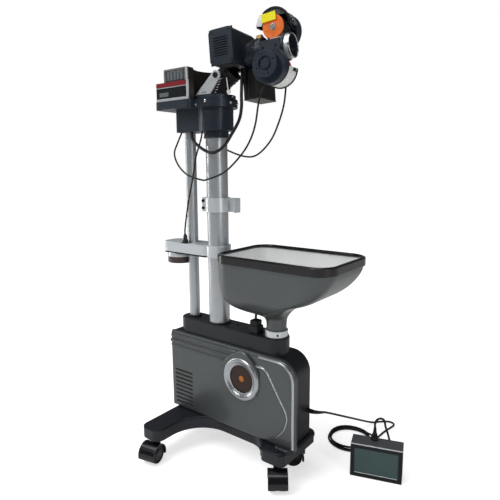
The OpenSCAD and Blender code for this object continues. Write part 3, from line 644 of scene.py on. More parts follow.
def pillow(name, outline, low, high, round_low, round_high, material, body, axis="Y", matrix=MAST,
           replaced=(), hole=()):
    """A slab with rounded edges, lofted from outline(inset). Boxes in hole are cut through it."""
    shape = bmesh.new()
    turns = [math.pi / 2 * k / EDGE_STEPS for k in range(EDGE_STEPS + 1)]
    levels = [(low + round_low * (1 - math.cos(a)), round_low * (1 - math.sin(a))) for a in turns]
    levels += [(high - round_high * (1 - math.cos(a)), round_high * (1 - math.sin(a))) for a in reversed(turns)]
    rows = [[shape.verts.new(level_point(p, level, axis)) for p in outline(inset)] for level, inset in levels]
    for first, second in zip(rows, rows[1:]):
        stitch(shape, first, second, back=True)
    shape.faces.new(rows[0])
    shape.faces.new(rows[-1][::-1])
    bmesh.ops.remove_doubles(shape, verts=shape.verts, dist=1e-4)
    piece = finish_mesh(name, shape, material, matrix, 50)
    if hole:
        cut_boxes(piece, hole, matrix)
    return settle(piece, body, replaced)


def cut_boxes(piece, boxes, matrix):
    """Cuts boxes, each from a low to a high corner, out of a piece."""
    cutter = bmesh.new()
    for low, high in boxes:
        made = bmesh.ops.create_cube(cutter, size=1)["verts"]
        bmesh.ops.transform(cutter, matrix=box_matrix(low, high), verts=made)
    tool = finish_mesh(piece.name + "_cut", cutter, MOULDED_BLACK, matrix)
    cut = piece.modifiers.new("holes", "BOOLEAN")
    cut.object = tool
    cut.solver = "EXACT"
    bpy.context.view_layer.update()
    graph = bpy.context.evaluated_depsgraph_get()
    made = bpy.data.meshes.new_from_object(piece.evaluated_get(graph))
    shape = bmesh.new()
    shape.from_mesh(made)
    shade(shape, 30)
    shape.to_mesh(made)
    shape.free()
    piece.modifiers.clear()
    piece.data = made
    bpy.data.objects.remove(tool)


def make_cabinet():
    """Cabinet, painted cover with its vent slots, top housing and the seats on it."""
    pillow("cabinet_shell", lambda d: cabinet_outline(-130, 235, d), -29.8, 42, 0.5, 4, CABINET_BLACK, "base",
           replaced=["cabinet_body"],
           hole=[((-106, 26, 102), (-82, 44, 118)), ((-71.5, 30, 100.5), (-52.5, 44, 113.5))])
    block("inlet_pin_block", (-100, 27, 106), (-88, 36, 114), BRIGHT_STEEL, "base", 0.8)
    for k, x in enumerate((-98.5, -89.5)):
        bead(f"inlet_pin_{k + 1}", [(x, 26, 110), (x, 40, 110)], 1.2, BRIGHT_STEEL, "base")
    for x in (-122, 227):
        for z in (92, 232):
            screw(f"back_screw_{x}_{z}".replace("-", "m"), (x, 42, z), (0, 1, 0), 3, "base")
    slots = [((-118, COVER_Y - 2, z), (-59, COVER_Y + 7, z + 4.5)) for z in SLOT_Z]
    pillow("cover_shell", lambda d: cabinet_outline(-134, 246, d), COVER_Y, -30, 7.5, 1, GUNMETAL, "base",
           replaced=["front_cover"], hole=slots)
    for k, z in enumerate(SLOT_Z):
        plate(f"louvre_{k + 1}", [(-119, z - 0.8), (-58, z - 0.8), (-58, z + 0.3), (-119, z + 0.3)], COVER_Y - 0.9,
              COVER_Y + 1, GUNMETAL, "base", edge=0.3)
    plate("louvre_back", rounded_rect(-120, 94, -57, 191, 2), COVER_Y + 1.6, COVER_Y + 2.6, GRILLE_DARK, "base",
          edge=0.2)
    make_cover_relief()
    make_ring()
    pillow("top_shell", lambda d: rounded_rect(-116 + d, -30 + d, 199 - d, 30 - d, 29.9 - d, 16), 286, HOUSING_TOP,
           0.5, 2.4, SATIN_BLACK, "base", "Z", replaced=["top_housing"])
    lathe("housing_step", tube_profile(31.6, 26, 283, 288, 0.5), CABINET_BLACK, "base",
          centre=(169, 0, 0))
    screw("housing_screw", (52, 6.5, HOUSING_TOP), (0, 0, 1), 3.4, "base")
    for name, x, profile in (("mast_seat", 0, (28, 25.1, 323.5, 327.5, 0.8)),
                             ("support_seat", SUPPORT_X, (16.5, 13.1, 323.5, 328.5, 0.8)),
                             ("neck_seat", NECK_X, (28.5, 26.1, 323, 325.6, 0.6))):
        lathe(name, tube_profile(*profile), MOULDED_BLACK, "base", centre=(x, 0, 0))
    block("cabinet_skirt", (-131.5, -30, 81), (237, 43.5, 85.5), CABINET_BLACK, "base", 1.4)
    pillow("cabinet_shoulder", lambda d: rounded_rect(196 + d, -56 + d, 243 - d, 62 - d, 16 - d), 80, 90, 0.5, 6,
           SATIN_BLACK, "base", "Z")


def make_cover_relief():
    """The rounded lips and the raised panel's edge, whose silver colour is painted highlight, and the two beads that
    run into the ring.
    """
    y = COVER_Y + 0.2
    lip = [(150, 281), (175, 281.3), (201, 280.8)]
    lip += arc(201, 242, 38.6, 80, 8, 10)
    lip += [(240.2, 236), (240.4, 180), (240.4, 110), (240.2, 89)]
    # The lip is a real rounded rim; its silver colour along the top-right and right edge is a painted highlight.
    bead("cover_lip_painted_highlight", [(x, y, z) for x, z in lip], 3.0, HIGHLIGHT_SILVER, "base", sides=16)
    for k, (z, r) in enumerate(((276, 4.6), (262, 4.6), (249.5, 2.4))):
        start = -127 if k == 0 else -130
        route = [(start, y + r, z), (start + 3, y + 0.4, z), (start + 12, y, z), (0, y, z), (60, y, z), (84, y + 2, z)]
        bead(f"cover_bead_{k + 1}", route, r, GUNMETAL, "base", sides=20)
    # The raised panel edge is real; its silver colour is painted highlight, and it thins along its run the way the
    # highlight fades.
    panel = [(128, 251), (141, 256), (158, 257), (168, 253), (176, 243), (200, 204), (220, 173), (224.5, 160),
             (224, 148), (217, 127), (204, 110), (190, 99), (176, 94.5), (160, 94)]
    shape = swept(smooth_route([(x, y + 0.6, z) for x, z in panel], 8), lambda i: max(0.6, 3.4 - 0.030 * i), 16)
    settle(finish_mesh("panel_edge_painted_highlight", shape, HIGHLIGHT_SILVER, MAST, 60), "base")
    # The inner bead is a real raised line; its silver colour is painted highlight.
    inner = [(132, 240), (146, 245), (156, 246), (163, 240), (172, 226), (195, 190), (210, 166), (214, 154),
             (212, 142), (204, 128)]
    bead("panel_bead_painted_highlight", [(x, y + 0.8, z) for x, z in inner], 1.6, HIGHLIGHT_SILVER, "base", sides=16)
    field = [(112, 100), (160, 97), (176, 97.5), (190, 102), (203, 112), (214, 128), (221, 149), (221.5, 160),
             (217, 172), (197, 203), (173, 242), (166, 250), (157, 253), (141, 252), (112, 240)]
    plate("panel_field", field, COVER_Y - 0.8, COVER_Y + 1, GUNMETAL, "base", edge=0.6)


def make_ring():
    """Cowl, wide conical bezel and plain disc around the feed wheel's hub."""
    cowl = [(44, 222), (48, 242), (58, 258), (74, 271), (92, 281), (104, 286), (116, 282), (134, 268), (147, 252),
            (153, 236), (149, 228)]
    cowl += arc(RING_X, RING_Z, 45, 8, 172, 24)
    piece = plate("ring_cowl", cowl, COVER_Y - 6.2, COVER_Y + 1, GUNMETAL, "base", edge=3.2)
    piece.modifiers["edges"].segments = 1
    bezel = [(33, COVER_Y), (51, COVER_Y), (51, COVER_Y - 4), (49.8, COVER_Y - 6.5), (47.4, COVER_Y - 8.6),
             (44.8, COVER_Y - 9.0), (42.6, COVER_Y - 8.6), (40, COVER_Y - 7.2), (37.4, COVER_Y - 4.8),
             (35.4, COVER_Y - 4.2), (33.4, COVER_Y - 3.8)]
    groove = [(31.6, COVER_Y), (34, COVER_Y), (34, COVER_Y - 3.4), (31.6, COVER_Y - 3.2)]
    face = [(0, COVER_Y), (32, COVER_Y), (32, COVER_Y - 1.8), (30.5, COVER_Y - 2.4), (16, COVER_Y - 1.9),
            (0, COVER_Y - 1.6)]
    hub = [(0, COVER_Y - 1), (7, COVER_Y - 1), (7, COVER_Y - 2.6), (6, COVER_Y - 3.6), (3, COVER_Y - 4.2),
           (0, COVER_Y - 4.4)]
    for name, profile, material, steps in (("bezel", bezel, BRIGHT_RING, 128), ("groove", groove, DARK_STEEL, 96),
                                           ("disc", face, COPPER_DARK, 96), ("hub", hub, AMBER, 48)):
        lathe(f"ring_{name}", profile, material, "base", "Y", (RING_X, 0, RING_Z), steps=steps,
              replaced=["cover_ring"] if name == "bezel" else ())


# Mast, clamp and bracket ------------------------------------------------------------------------------

CAN_X = -129


def make_poles():
    """Mast, support tube, clamp, and the bracket with its can and cable gland."""
    lathe("mast_skin", tube_profile(25, 21.5, 225, 857, 0.5), BRUSHED_TUBE, "base", steps=128,
          replaced=["mast_tube"])
    lathe("support_skin", tube_profile(13, 11, 287, 780, 0.5), BRUSHED_TUBE, "base",
          centre=(SUPPORT_X, 0, 0), steps=96, replaced=["support_tube"])
    rounded_copy("mast_clamp", 0.6, MACHINED, 2)
    for k, z in enumerate((603, 620)):
        for name, side in SIDES:
            screw(f"clamp_screw_{k + 1}_{name}", (-34, side * 13, z), (0, side, 0), 3.8, "base",
                  DARK_STEEL, tall=3.4)
        bead(f"clamp_bolt_{k + 1}", [(-34, -13, z), (-34, 15, z)], 2, DARK_STEEL, "base")
    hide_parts("clamp_screws")
    rounded_copy("pole_bracket", 1.2, BRUSHED_PLATE, 3)
    outer = rounded_rect(-166.5, -30.5, -5.5, 30.5, 20.5, 12)
    inner = rounded_rect(-163.2, -27.2, -8.8, 27.2, 17.2, 12)
    band("bracket_trim", outer, inner, 486.4, 490.2, MOULDED_BLACK, "base")
    ring = [(32.8, 477), (32.8, 485), (31.9, 487), (20, 487), (20, 477)]
    wall = [(32.3, 464), (32.3, 480), (12, 480), (12, 464)]
    floor = [(0, 463), (12, 463), (29, 462.6), (29.4, 461), (31.4, 461), (32.6, 462), (32.7, 466), (32.5, 468),
             (31, 468), (0, 466)]
    for name, profile, material in (("ring", ring, MACHINED), ("side", wall, CAN_BROWN), ("bottom", floor, CAN_BROWN)):
        lathe(f"can_{name}", profile, material, "base", centre=(CAN_X, 0, 0), steps=96,
              replaced=["bracket_can"] if name == "side" else ())
    block("bracket_slot", (-98, -30.4, 514.2), (-76, -14, 515.6), DARK_STEEL, "base", 0.3)
    cone = [(0, 515), (7, 515), (7.4, 517), (6.8, 521), (4.6, 525), (4.4, 527), (5.2, 528), (5.0, 531), (3.2, 536),
            (2.1, 538), (0, 538)]
    lathe("bracket_gland", cone, MOULDED_BLACK, "base", centre=(-87, -24, 0), steps=32)


# Hopper -----------------------------------------------------------------------------------------------

# Sections of the bowl from the neck's foot to the rim: height, left, right, half width, corner.
BOWL = [(324.4, 146.9, 192.1, 22.6, 22.6), (338, 146.9, 192.1, 22.6, 22.6), (350, 146.7, 192.3, 22.8, 22.8),
        (360, 145.5, 193, 23.6, 23.4), (368, 140, 194, 26.5, 25), (374, 128, 196, 33, 27), (379, 108, 198, 42, 29),
        (385, 88, 203, 53, 31), (396, 73, 222, 69, 33), (412, 66, 250, 82, 34), (428, 64.5, 289, 88, 36),
        (452, 63.5, 320, 90.8, 37), (478, 62.4, 340, 92.4, 38), (494, 62, 345, 93, 38), (509.5, 62, 346, 93, 38)]


def bowl_rows(shape, inset):
    """The bowl's surface as rows of points from the neck up."""
    rows = []
    levels = []
    last = len(BOWL) - 1
    for i in range(last):
        for t in (0, 1 / 3, 2 / 3):
            mid = curve_point(*(Vector(BOWL[n][:4]) for n in (max(i - 1, 0), i, i + 1, min(i + 2, last))), t)
            corner = BOWL[i][4] + (BOWL[i + 1][4] - BOWL[i][4]) * t
            levels.append((*mid, corner))
    levels.append(BOWL[last])
    for z, x0, x1, half, corner in levels:
        r = min(corner, half) - inset * 0.6
        x0, x1, half = x0 + inset, x1 - inset, half - inset
        r = min(r, half - 0.01, (x1 - x0) / 2 - 0.01)
        rows.append([shape.verts.new((x, y, z)) for x, y in rounded_rect(x0, -half, x1, half, r, 10)])
    return rows


def loft(name, wall, inner, material, replaced=()):
    """A wall between two insets of the bowl, closed at its foot and rim."""
    shape = bmesh.new()
    outside, inside = bowl_rows(shape, wall), bowl_rows(shape, inner)
    for stack in (outside, inside):
        for first, second in zip(stack, stack[1:]):
            stitch(shape, first, second)
    for end in (0, -1):
        stitch(shape, outside[end], inside[end])
    piece = finish_mesh(name, shape, material, MAST, 60)
    return settle(piece, "base", replaced)


def make_hopper():
    """Painted bowl with a white liner, black rim, neck collar and plug."""
    loft("hopper_outside", 0, 1.3, GUNMETAL, ["hopper_shell"])
    loft("hopper_liner", 1.35, 2.5, BOWL_WHITE)
    outer = rounded_rect(59, -96, 349, 96, 41, 16)
    inner = rounded_rect(62.4, -92.6, 345.6, 92.6, 37.8, 16)
    band("hopper_rim_bead", outer, inner, 494, 511.5, GLOSS_BLACK, "base", edge=1.5,
         replaced=["hopper_rim"])
    roll = [(x, y, 508.6) for x, y in rounded_rect(64.2, -90.8, 343.8, 90.8, 36.4, 12)]
    bead("hopper_rim_roll", roll + roll[:1], 4.2, GLOSS_BLACK, "base", steps=1, sides=20)
    collar = tube_profile(26, 22.7, HOUSING_TOP, 340, 0.9)
    lathe("neck_collar", collar, MACHINED, "base", centre=(NECK_X, 0, 0), steps=96,
          replaced=["hopper_collar"])
    screw("collar_screw", (NECK_X + 16.5, -20.1, 332), (0.63, -0.77, 0), 2.4, "base")
    pillow("plug_body", lambda d: rounded_rect(106 + d, -23 + d, 132 - d, 3 - d, 3 - min(d, 2.6), 5), 324, 341, 0.3,
           1.6, MOULDED_BLACK, "base", "Z", replaced=["hopper_plug"])
    pillow("plug_head", lambda d: rounded_rect(108.5 + d, -20.5 + d, 129.5 - d, 0.5 - d, 3 - min(d, 2.6), 5), 340,
           354, 0.3, 2.4, MOULDED_BLACK, "base", "Z")
    for k in range(3):
        z = 343.5 + 2.6 * k
        bead(f"plug_rib_{k + 1}", [(109, -20.8, z), (129, -20.8, z)], 0.5, MOULDED_BLACK, "base")


# Head support -----------------------------------------------------------------------------------------

def make_head_support():
    """Gearbox housing, tray, driver case, turntable and tilt arms."""
    rounded_copy("gearbox_housing", 1.0, HOUSING_BLUE_BLACK, 3)
    rounded_copy("head_tray", 1.2, HOUSING_BLUE_BLACK, 3)
    lathe("gearbox_joint", tube_profile(40.5, 38, 822, 824, 0.4), HOUSING_BLUE_BLACK, "base", steps=96)
    lathe("collar_lip", tube_profile(29.4, 27, 764, 767.5, 0.8), HOUSING_BLUE_BLACK, "base", steps=96)
    for k, (turn, r, z, size) in enumerate(((-76, 50, 842, 3.4), (-8, 50, 839, 3.4), (24, 50, 839, 3),
                                            (30, 28.5, 770, 3.2), (150, 28.5, 772, 3.2), (-110, 50, 836, 2.6))):
        a = math.radians(turn)
        out = Vector((math.cos(a), math.sin(a), 0))
        screw(f"support_bolt_{k + 1}", out * (r - 0.4) + Vector((0, 0, z)), out, size, "base",
              BRIGHT_STEEL, tall=3.2)
    make_driver_case()
    turned = [(25.1, 848.3), (45, 848.3), (46, 849.2), (46, 855.6), (45.2, 856.7), (44.4, 857), (42, 857), (41.4, 856),
              (30, 856), (29.4, 857), (25.1, 857)]
    lathe("turntable_skin", turned, HOUSING_BLUE_BLACK, "turntable", steps=128)
    paint("turntable", HOUSING_BLUE_BLACK)
    a = math.radians(4)
    screw("turntable_bolt", (45.6 * math.cos(a), 45.6 * math.sin(a), 852.6), (math.cos(a), math.sin(a), 0), 3.2,
          "turntable", BRIGHT_STEEL, tall=3.2)
    rounded_copy("tilt_arms", 0.7, MACHINED, 2)
    for k in range(3):
        x = -15 + 4.6 * k
        screw(f"arm_dot_{k + 1}", (x, -31.6, 863.6), (0, -1, 0), 1.2, "turntable", DARK_STEEL, PANNED)


def make_driver_case():
    """Two stepped boxes of folded metal with a silver frame, a plain red band and a grille."""
    rounded_copy("driver_case", 0.8, CASE_BROWN, 2)
    for name, low, high, material, edge in (
            ("strip", (-129, -63.4, 848), (-25, -60, 854.4), MACHINED, 0.6),
            ("corner_low", (-31, -63.2, 854), (-25.2, -60, 890.4), MACHINED, 0.6),
            ("corner_high", (-34.4, -60.6, 890), (-29.4, -57, 918.4), MACHINED, 0.6),
            ("top_edge", (-104.4, -60.4, 914.6), (-33, -57, 918.3), MOTOR_STEEL, 0.6),
            ("left_edge", (-104.4, -60.4, 890), (-99.4, -57, 916), MOTOR_STEEL, 0.6),
            ("right_edge", (-38.2, -60.1, 890), (-33.6, -57, 916), MOTOR_STEEL, 0.5),
            ("red_band", (-128.6, -63, 879.6), (-31, -60.5, 889.8), DARK_RED, 0.4),
            ("band_line", (-128.6, -63.1, 877.8), (-31, -60.5, 879.2), MACHINED, 0.3),
            ("label", (-128.4, -62.9, 854), (-31, -60.6, 877.4), LABEL_BLACK, 0.4),
            ("label_oval", (-118, -63.2, 859), (-88, -62.6, 868), GRILLE_GREY, 0.25)):
        block(f"case_{name}", low, high, material, "base", edge)
    for k in range(5):
        x = -93.7 + 10.5 * k
        block(f"case_grille_{k + 1}", (x, -60, 893), (x + 6.9, -58.2, 913.6), GRILLE_GREY, "base", 0.8)
        block(f"case_louvre_{k + 1}", (-99.6, -59.7, 895 + 4 * k), (-38, -58.4, 896.2 + 4 * k), MOTOR_STEEL, "base",
              0.3)
    for k, (x, y) in enumerate(((-96, -50), (-96, 36), (-66, 36))):
        screw(f"case_screw_{k + 1}", (x, y, 918), (0, 0, 1), 2.6, "base")
    for k in range(7):
        block(f"case_back_rib_{k + 1}", (-116 + 10 * k, 44.4, 858), (-112 + 10 * k, 46.2, 884), CASE_BROWN, "base",
              0.7)


# Head -------------------------------------------------------------------------------------------------

HOSE_ROUTE = [(0, 0, 858), (0, 0, 862), (0.8, 0, 867), (5, 0, 877), (17, 0, 889), (36, 0, 899), (48, 0, 907.6)]


def make_hose():
    """Corrugated hose between the turntable and the head."""
    route = smooth_route(HOSE_ROUTE, 14)
    shape = swept(route, lambda i: 22.2 + 0.8 * math.cos(i * math.pi / 2.5), 40)
    piece = finish_mesh("ball_hose_skin", shape, HOSE_RUBBER, PANNED, 70)
    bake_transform(piece)
    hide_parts("ball_hose")


def make_scale():
    """Tilt scale and its pointer beside the front arm."""
    sector = [(8, 857.4), (50, 857.4), (56, 866), (54, 880), (47, 889), (37, 892), (30, 887)]
    plate("scale_plate", sector, -27.6, -26.4, GLOSS_BLACK, "turntable", matrix=PANNED, edge=0.3)
    for k in range(6):
        t = k / 5
        x, z = 31.5 - 13.5 * t, 888.5 - 27 * t
        turn = Matrix.Translation((x, 0, z)) @ Matrix.Rotation(math.radians(-24 + 6 * k), 4, "Y")
        size = 3.6 if k % 2 == 0 else 2.4
        block(f"scale_mark_{k + 1}", (-size, -28.2, -0.5), (size, -27.4, 0.5), SCALE_WHITE, "turntable",
              0.2, PANNED @ turn)
    block("pointer", (-1.1, -31, -17), (1.1, -29.8, 17), POINTER_CREAM, "turntable", 0.4,
          PANNED @ Matrix.Translation((51.5, 0, 873)) @ Matrix.Rotation(math.radians(-8), 4, "Y"))
    lathe("pointer_foot", disc_profile(4.2, -32, -27, 0.8), POINTER_CREAM, "turntable", "Y",
          (53.8, 0, 860), PANNED, 24)
    cap = [(0, 33), (6.2, 33), (6.2, 34.6), (5.4, 35.4), (2.6, 35.6), (2.4, 34.8), (0, 34.8)]
    for name, side in SIDES:
        lathe(f"pivot_cap_{name}", [(r, side * y) for r, y in cap], DARK_STEEL, "head", "Y",
              (TILT_X, 0, TILT_Z), HEAD, 32)


def make_head():
    """Hose, scale, head housing, drive box, barrel and both throwers."""
    make_hose()
    make_scale()
    rounded_copy("head_housing", 1.0, HOUSING_BLUE_BLACK, 3)
    rounded_copy("end_cover", 0.5, HOUSING_BLUE_BLACK, 2)
    for k in range(8):
        z = 927.6 + 5 * k
        bead(f"end_louvre_{k + 1}", [(43.4, -65.4, z), (76.6, -65.4, z)], 0.55, DRUM_BLACK, "head",
             HEAD, 2, 8)
    for k, (x, z) in enumerate(((38, 914.5), (83, 914.5), (38, 973.5), (83, 973.5))):
        screw(f"cover_screw_{k + 1}", (x, -64.8, z), (0, -1, 0), 2.0, "head", DARK_STEEL, HEAD, 1.2)
    block("housing_seam", (31.6, -61.2, 907.7), (89.4, -60.2, 980.3), DRUM_BLACK, "head", 0.3, HEAD)
    block("housing_strip", (46, -58, 905.6), (78, -40, 908.3), CASE_BROWN, "head", 0.6, HEAD)
    rounded_copy("drive_box", 1.2, MOULDED_BLACK, 2)
    block("drive_box_foot", (72.6, -4.4, 838.6), (113.9, 74.4, 841), CASE_BROWN, "head", 0.8, HEAD)
    for k in range(4):
        screw(f"drive_screw_{k + 1}", (78 + 32 * (k % 2), -5.6, 845 + 52 * (k // 2)), (0, -1, 0), 1.7, "head",
              DARK_STEEL, HEAD, 1.2)
    paint("launch_frame", HOUSING_BLUE_BLACK)
    lathe("spigot_ring", tube_profile(24.8, 22, 96, 99.5, 0.6), DRUM_BLACK, "head", "X",
          (0, 0, LAUNCH_Z), HEAD, 72)
    make_barrel()
    make_thrower("lower", HEAD)
    make_thrower("upper", HEAD @ FLIP)


def make_barrel():
    """Rim and collar on the barrel, a dark liner inside it that is painted shade, and rings round the cheek's holes.
    """
    paint("barrel", MACHINED)
    rim = [(21.9, 193), (24.2, 193), (25.15, 194), (25.2, 196.2), (24.6, 197.2), (23.4, 197.5), (22.3, 197.0),
           (21.85, 196)]
    for name, profile, material, slot in (
            ("rim", rim, BRIGHT_STEEL, "barrel_silver"),
            # The liner is a thin dark sleeve inside the bore: painted shade standing for the shadow in the barrel.
            ("liner", tube_profile(21.75, 21.3, 177, 196.4, 0.15), DRUM_BLACK, "barrel_silver"),
            ("collar", tube_profile(28.6, 25.2, 179.2, 184.6, 0.8), DRUM_BLACK, "head_black")):
        lathe(f"barrel_{name}", profile, material, "launcher", "X", (0, 0, LAUNCH_Z), HEAD, 96)
    for k, x in enumerate((139, 169)):
        for name, side in SIDES:
            ring = [(2.3, side * 28.0), (3.6, side * 28.0), (3.4, side * 28.4), (2.5, side * 28.4)]
            lathe(f"cheek_ring_{k + 1}_{name}", ring, DRUM_BLACK, "launcher", "Y", (x, 0, LAUNCH_Z),
                  HEAD, 24)


def make_thrower(which, matrix):
    """One motor drum, wheel and guard, drawn for the wheel below the launch axis."""
    axis = (WHEEL_X, 0, LAUNCH_Z - WHEEL_OFFSET)
    lower = which == "lower"
    rounded_copy(f"{which}_motor", 0.8, DRUM_BLACK, 2)
    for k in range(3):
        a = math.radians(40 + 120 * k)
        x, z = WHEEL_X + 6.2 * math.cos(a), axis[2] + 6.2 * math.sin(a)
        screw(f"{which}_flange_hole_{k + 1}", (x - 1, -61.7, z), (0, -1, 0), 1.5, "launcher",
              DARK_STEEL, matrix, 0.5)
    lathe(f"{which}_flange_edge", tube_profile(26.3, 24.7, -62.4, -60.2, 0.5), DRUM_BLACK, "launcher",
          "Y", axis, matrix, 72)
    make_wheel(which, axis, matrix)
    start, sweep = 186.2, 167.6
    guard = GUARD_WHITE if lower else GUARD_CLEAR
    shell = [(35.05, -28), (36.95, -28), (36.95, 12.6), (35.05, 12.6)]
    lathe(f"{which}_guard_band", shell, guard, "launcher", "Y", axis, matrix, 48, start, sweep,
          [f"{which}_guard"])
    rim = [(34.4, 11.4), (39, 11.4), (39.4, 12), (39.4, 13.4), (38.8, 14), (34.8, 14), (34.4, 13.4)]
    lathe(f"{which}_guard_rim", rim, GLOSS_BLACK, "launcher", "Y", axis, matrix, 64, start, sweep)
    back = [(34.6, -28.2), (37.6, -28.2), (37.8, -27.6), (37.8, -26.4), (37.2, -26), (34.6, -26)]
    lathe(f"{which}_guard_seat", back, DRUM_BLACK, "launcher", "Y", axis, matrix, 64, start, sweep)
    for k, x in enumerate((WHEEL_X - 36.4, WHEEL_X + 36.4)):
        block(f"{which}_guard_tab_{k + 1}", (x - 2.6, -6, axis[2] - 11), (x + 2.6, 12, axis[2] - 4.4),
              MOULDED_BLACK, "launcher", 0.8, matrix)
        out = 1 if k else -1
        screw(f"{which}_tab_screw_{k + 1}", (x + 2.6 * out, 3, axis[2] - 8), (out, 0, 0), 1.7, "launcher",
              BRIGHT_STEEL, matrix, 1.2)
    if not lower:
        lip = [(35.0, 13.9), (38.2, 13.9), (38.2, 15.2), (24.6, 15.6), (24.6, 14.9)]
        lathe("upper_guard_plate", [(r, y + 3.2) for r, y in lip], MACHINED, "launcher", "Y", axis, matrix, 24,
              start + 4, 44)
        tag = Matrix.Translation((WHEEL_X - 7, 0, axis[2] - 19)) @ Matrix.Rotation(math.radians(3), 4, "Y")
        block("plain_tag", (-17, 18.2, -9), (16, 19, 8), YELLOW_TAG, "launcher", 0.35, matrix @ tag)
        block("tag_arm", (-3, 13.4, -17), (3, 18.3, -6), GLOSS_BLACK, "launcher", 0.5, matrix @ tag)


def make_wheel(which, axis, matrix):
    """The rubber wheel, its orange disc with five dimples, and its shaft, nut and washer."""
    body = f"{which}_wheel"
    tread = [(12, -12), (20.6, -12), (21.6, -11.2), (22, -10), (21.7, -6), (21.7, 6), (22, 10), (21.6, 11.2),
             (20.6, 12), (12, 12)]
    lathe(f"{which}_tyre", tread, WHEEL_RUBBER, body, "Y", axis, matrix, 72,
          replaced=[body])
    disc = [(3, 11.8), (23.2, 11.8), (24, 12.6), (24, 14.6), (23.2, 15.6), (21.4, 15.9), (19.4, 15.2), (12.4, 15.2),
            (10.6, 16), (8.4, 16), (7.6, 15.4), (3, 15.4)]
    lathe(f"{which}_disc", disc, ORANGE, body, "Y", axis, matrix, 96)
    lathe(f"{which}_shaft", disc_profile(3, -43.5, 17.8, 0.4), BRIGHT_STEEL, body, "Y", axis, matrix,
          24)
    nut = ring_points([(0, 15.4), (5.6, 15.4), (5.6, 18.2), (4.9, 18.9), (0, 18.9)], 6, "Y", axis)
    piece = finish_mesh(f"{which}_nut", nut, BRIGHT_STEEL, matrix, 20)
    soften(piece, 0.3, 2, 25)
    settle(piece, body)
    lathe(f"{which}_washer", tube_profile(7.2, 3, 15.2, 16.4, 0.3), MOTOR_STEEL, body, "Y", axis,
          matrix, 32)
    for k in range(5):
        a = math.radians(72 * k + 18)
        x, z = axis[0] + 16 * math.cos(a), axis[2] + 16 * math.sin(a)
        dimple = [(0, 15.1), (2.4, 15.1), (2.6, 15.5), (1.8, 15.6), (0, 15.35)]
        shape = ring_points(dimple, 20, "Y", (x, 0, z))
        settle(finish_mesh(f"{which}_dimple_{k + 1}", shape, ORANGE, matrix), body)


# Controller -------------------------------------------------------------------------------------------

CONTROLLER = MAST @ Matrix.Translation((322, 75, 0)) @ Matrix.Rotation(math.radians(18), 4, "Z")
CONNECTOR_AT = (360, 120, 0)


def frame_plate(name, x0, z0, x1, z1, rim, low, high, material):
    """A flat rectangular frame facing -Y."""
    outer, inner = rounded_rect(x0, z0, x1, z1, 1.6, 4), rounded_rect(x0 + rim, z0 + rim, x1 - rim, z1 - rim, 0.8, 4)
    return band(name, outer, inner, low, high, material, "base", CONTROLLER, 0.3, axis="Y", segments=2)


def make_controller():
    """Case, bezel and screen, with the cord's connector and sleeves."""
    pillow("controller_shell", lambda d: rounded_rect(d, d, 114 - d, 80 - d, max(0.3, 2 - d)), 0, 42, 0.6, 1.8,
           CONTROLLER_GREY, "base", matrix=CONTROLLER, replaced=["controller_case"],
           hole=[((3, -2, 3), (111, 39, 77))])
    frame_plate("controller_bezel", 0.6, 0.6, 113.4, 78.6, 8.4, -0.5, 3.2, BEZEL_BLACK)
    block("controller_brow", (0.4, -0.5, 78.2), (113.6, 2.2, 80.3), MACHINED, "base", 0.5,
          CONTROLLER)
    pillow("screen_pane", lambda d: rounded_rect(8.6 + d, 8.6 + d, 105.4 - d, 70.6 - d, 1), 1.6, 3.6, 0.2, 0.2,
           SCREEN, "base", matrix=CONTROLLER, replaced=["controller_screen"])
    frame_plate("screen_frame", 8.6, 8.6, 105.4, 70.6, 1.2, 0.9, 2.2, GRILLE_GREY)
    block("screen_foot_line", (9.4, 0.6, 8.7), (104.6, 1.8, 10.4), MACHINED, "base", 0.4, CONTROLLER)
    for k in range(4):
        block(f"controller_vent_{k + 1}", (30 + 14 * k, 41.2, 30), (40 + 14 * k, 42.6, 50), BEZEL_BLACK, "base",
              0.5, CONTROLLER)
    for k, (x, y) in enumerate(((8, 8), (106, 8), (8, 34), (106, 34))):
        lathe(f"controller_foot_{k + 1}", disc_profile(4, 0, 2, 0.5), MOULDED_BLACK, "base",
              centre=(x, y, 0), matrix=CONTROLLER, steps=24)
    for k, z in enumerate((91, 93.4)):
        lathe(f"connector_rib_{k + 1}", tube_profile(5.9, 4.8, z, z + 1.4, 0.3), MOULDED_BLACK, "base",
              centre=CONNECTOR_AT, steps=32)
    lathe("connector_nut", tube_profile(8.8, 7.4, 80, 86, 0.7), MOULDED_BLACK, "base",
          centre=CONNECTOR_AT, steps=8)
    # Tapered sleeves where the lead leaves the cabinet and where it enters the connector.
    for name, route, foot, taper in (("lead_relief", smooth_route(CORD_ROUTE[:3], 8)[:14], 4.8, -0.14),
                                     ("connector_boot", smooth_route(TAIL_ROUTE[-3:], 8)[6:], 3.0, 0.16)):
        sleeve = swept(route, lambda i: foot + taper * i, 24)
        settle(finish_mesh(name, sleeve, CABLE_RUBBER, MAST, 60), "base")


# Stage ------------------------------------------------------------------------------------------------

FLOOR_LIFT = 0.6
SKY_STRENGTH = 0.11
STUDIO_LIGHTS = (("key", (-0.7, -2.6, 2.8), (0, 0, 0.5), (1.4, 1.4), 40),
                 ("fill", (2.6, -0.9, 1.4), (0, 0, 0.5), (0.5, 2.0), 16),
                 ("left_strip", (-2.4, -0.6, 1.0), (0, 0, 0.6), (0.3, 2.2), 16))


def area_light(name, position, target, size, power):
    """A rectangular light that faces a target."""
    data = bpy.data.lights.new(name, "AREA")
    data.shape = "RECTANGLE"
    data.size, data.size_y = size
    data.energy = power
    light = bpy.data.objects.new(name, data)
    light.location = position
    light.rotation_euler = (Vector(target) - Vector(position)).to_track_quat("-Z", "Y").to_euler()
    bpy.context.scene.collection.objects.link(light)


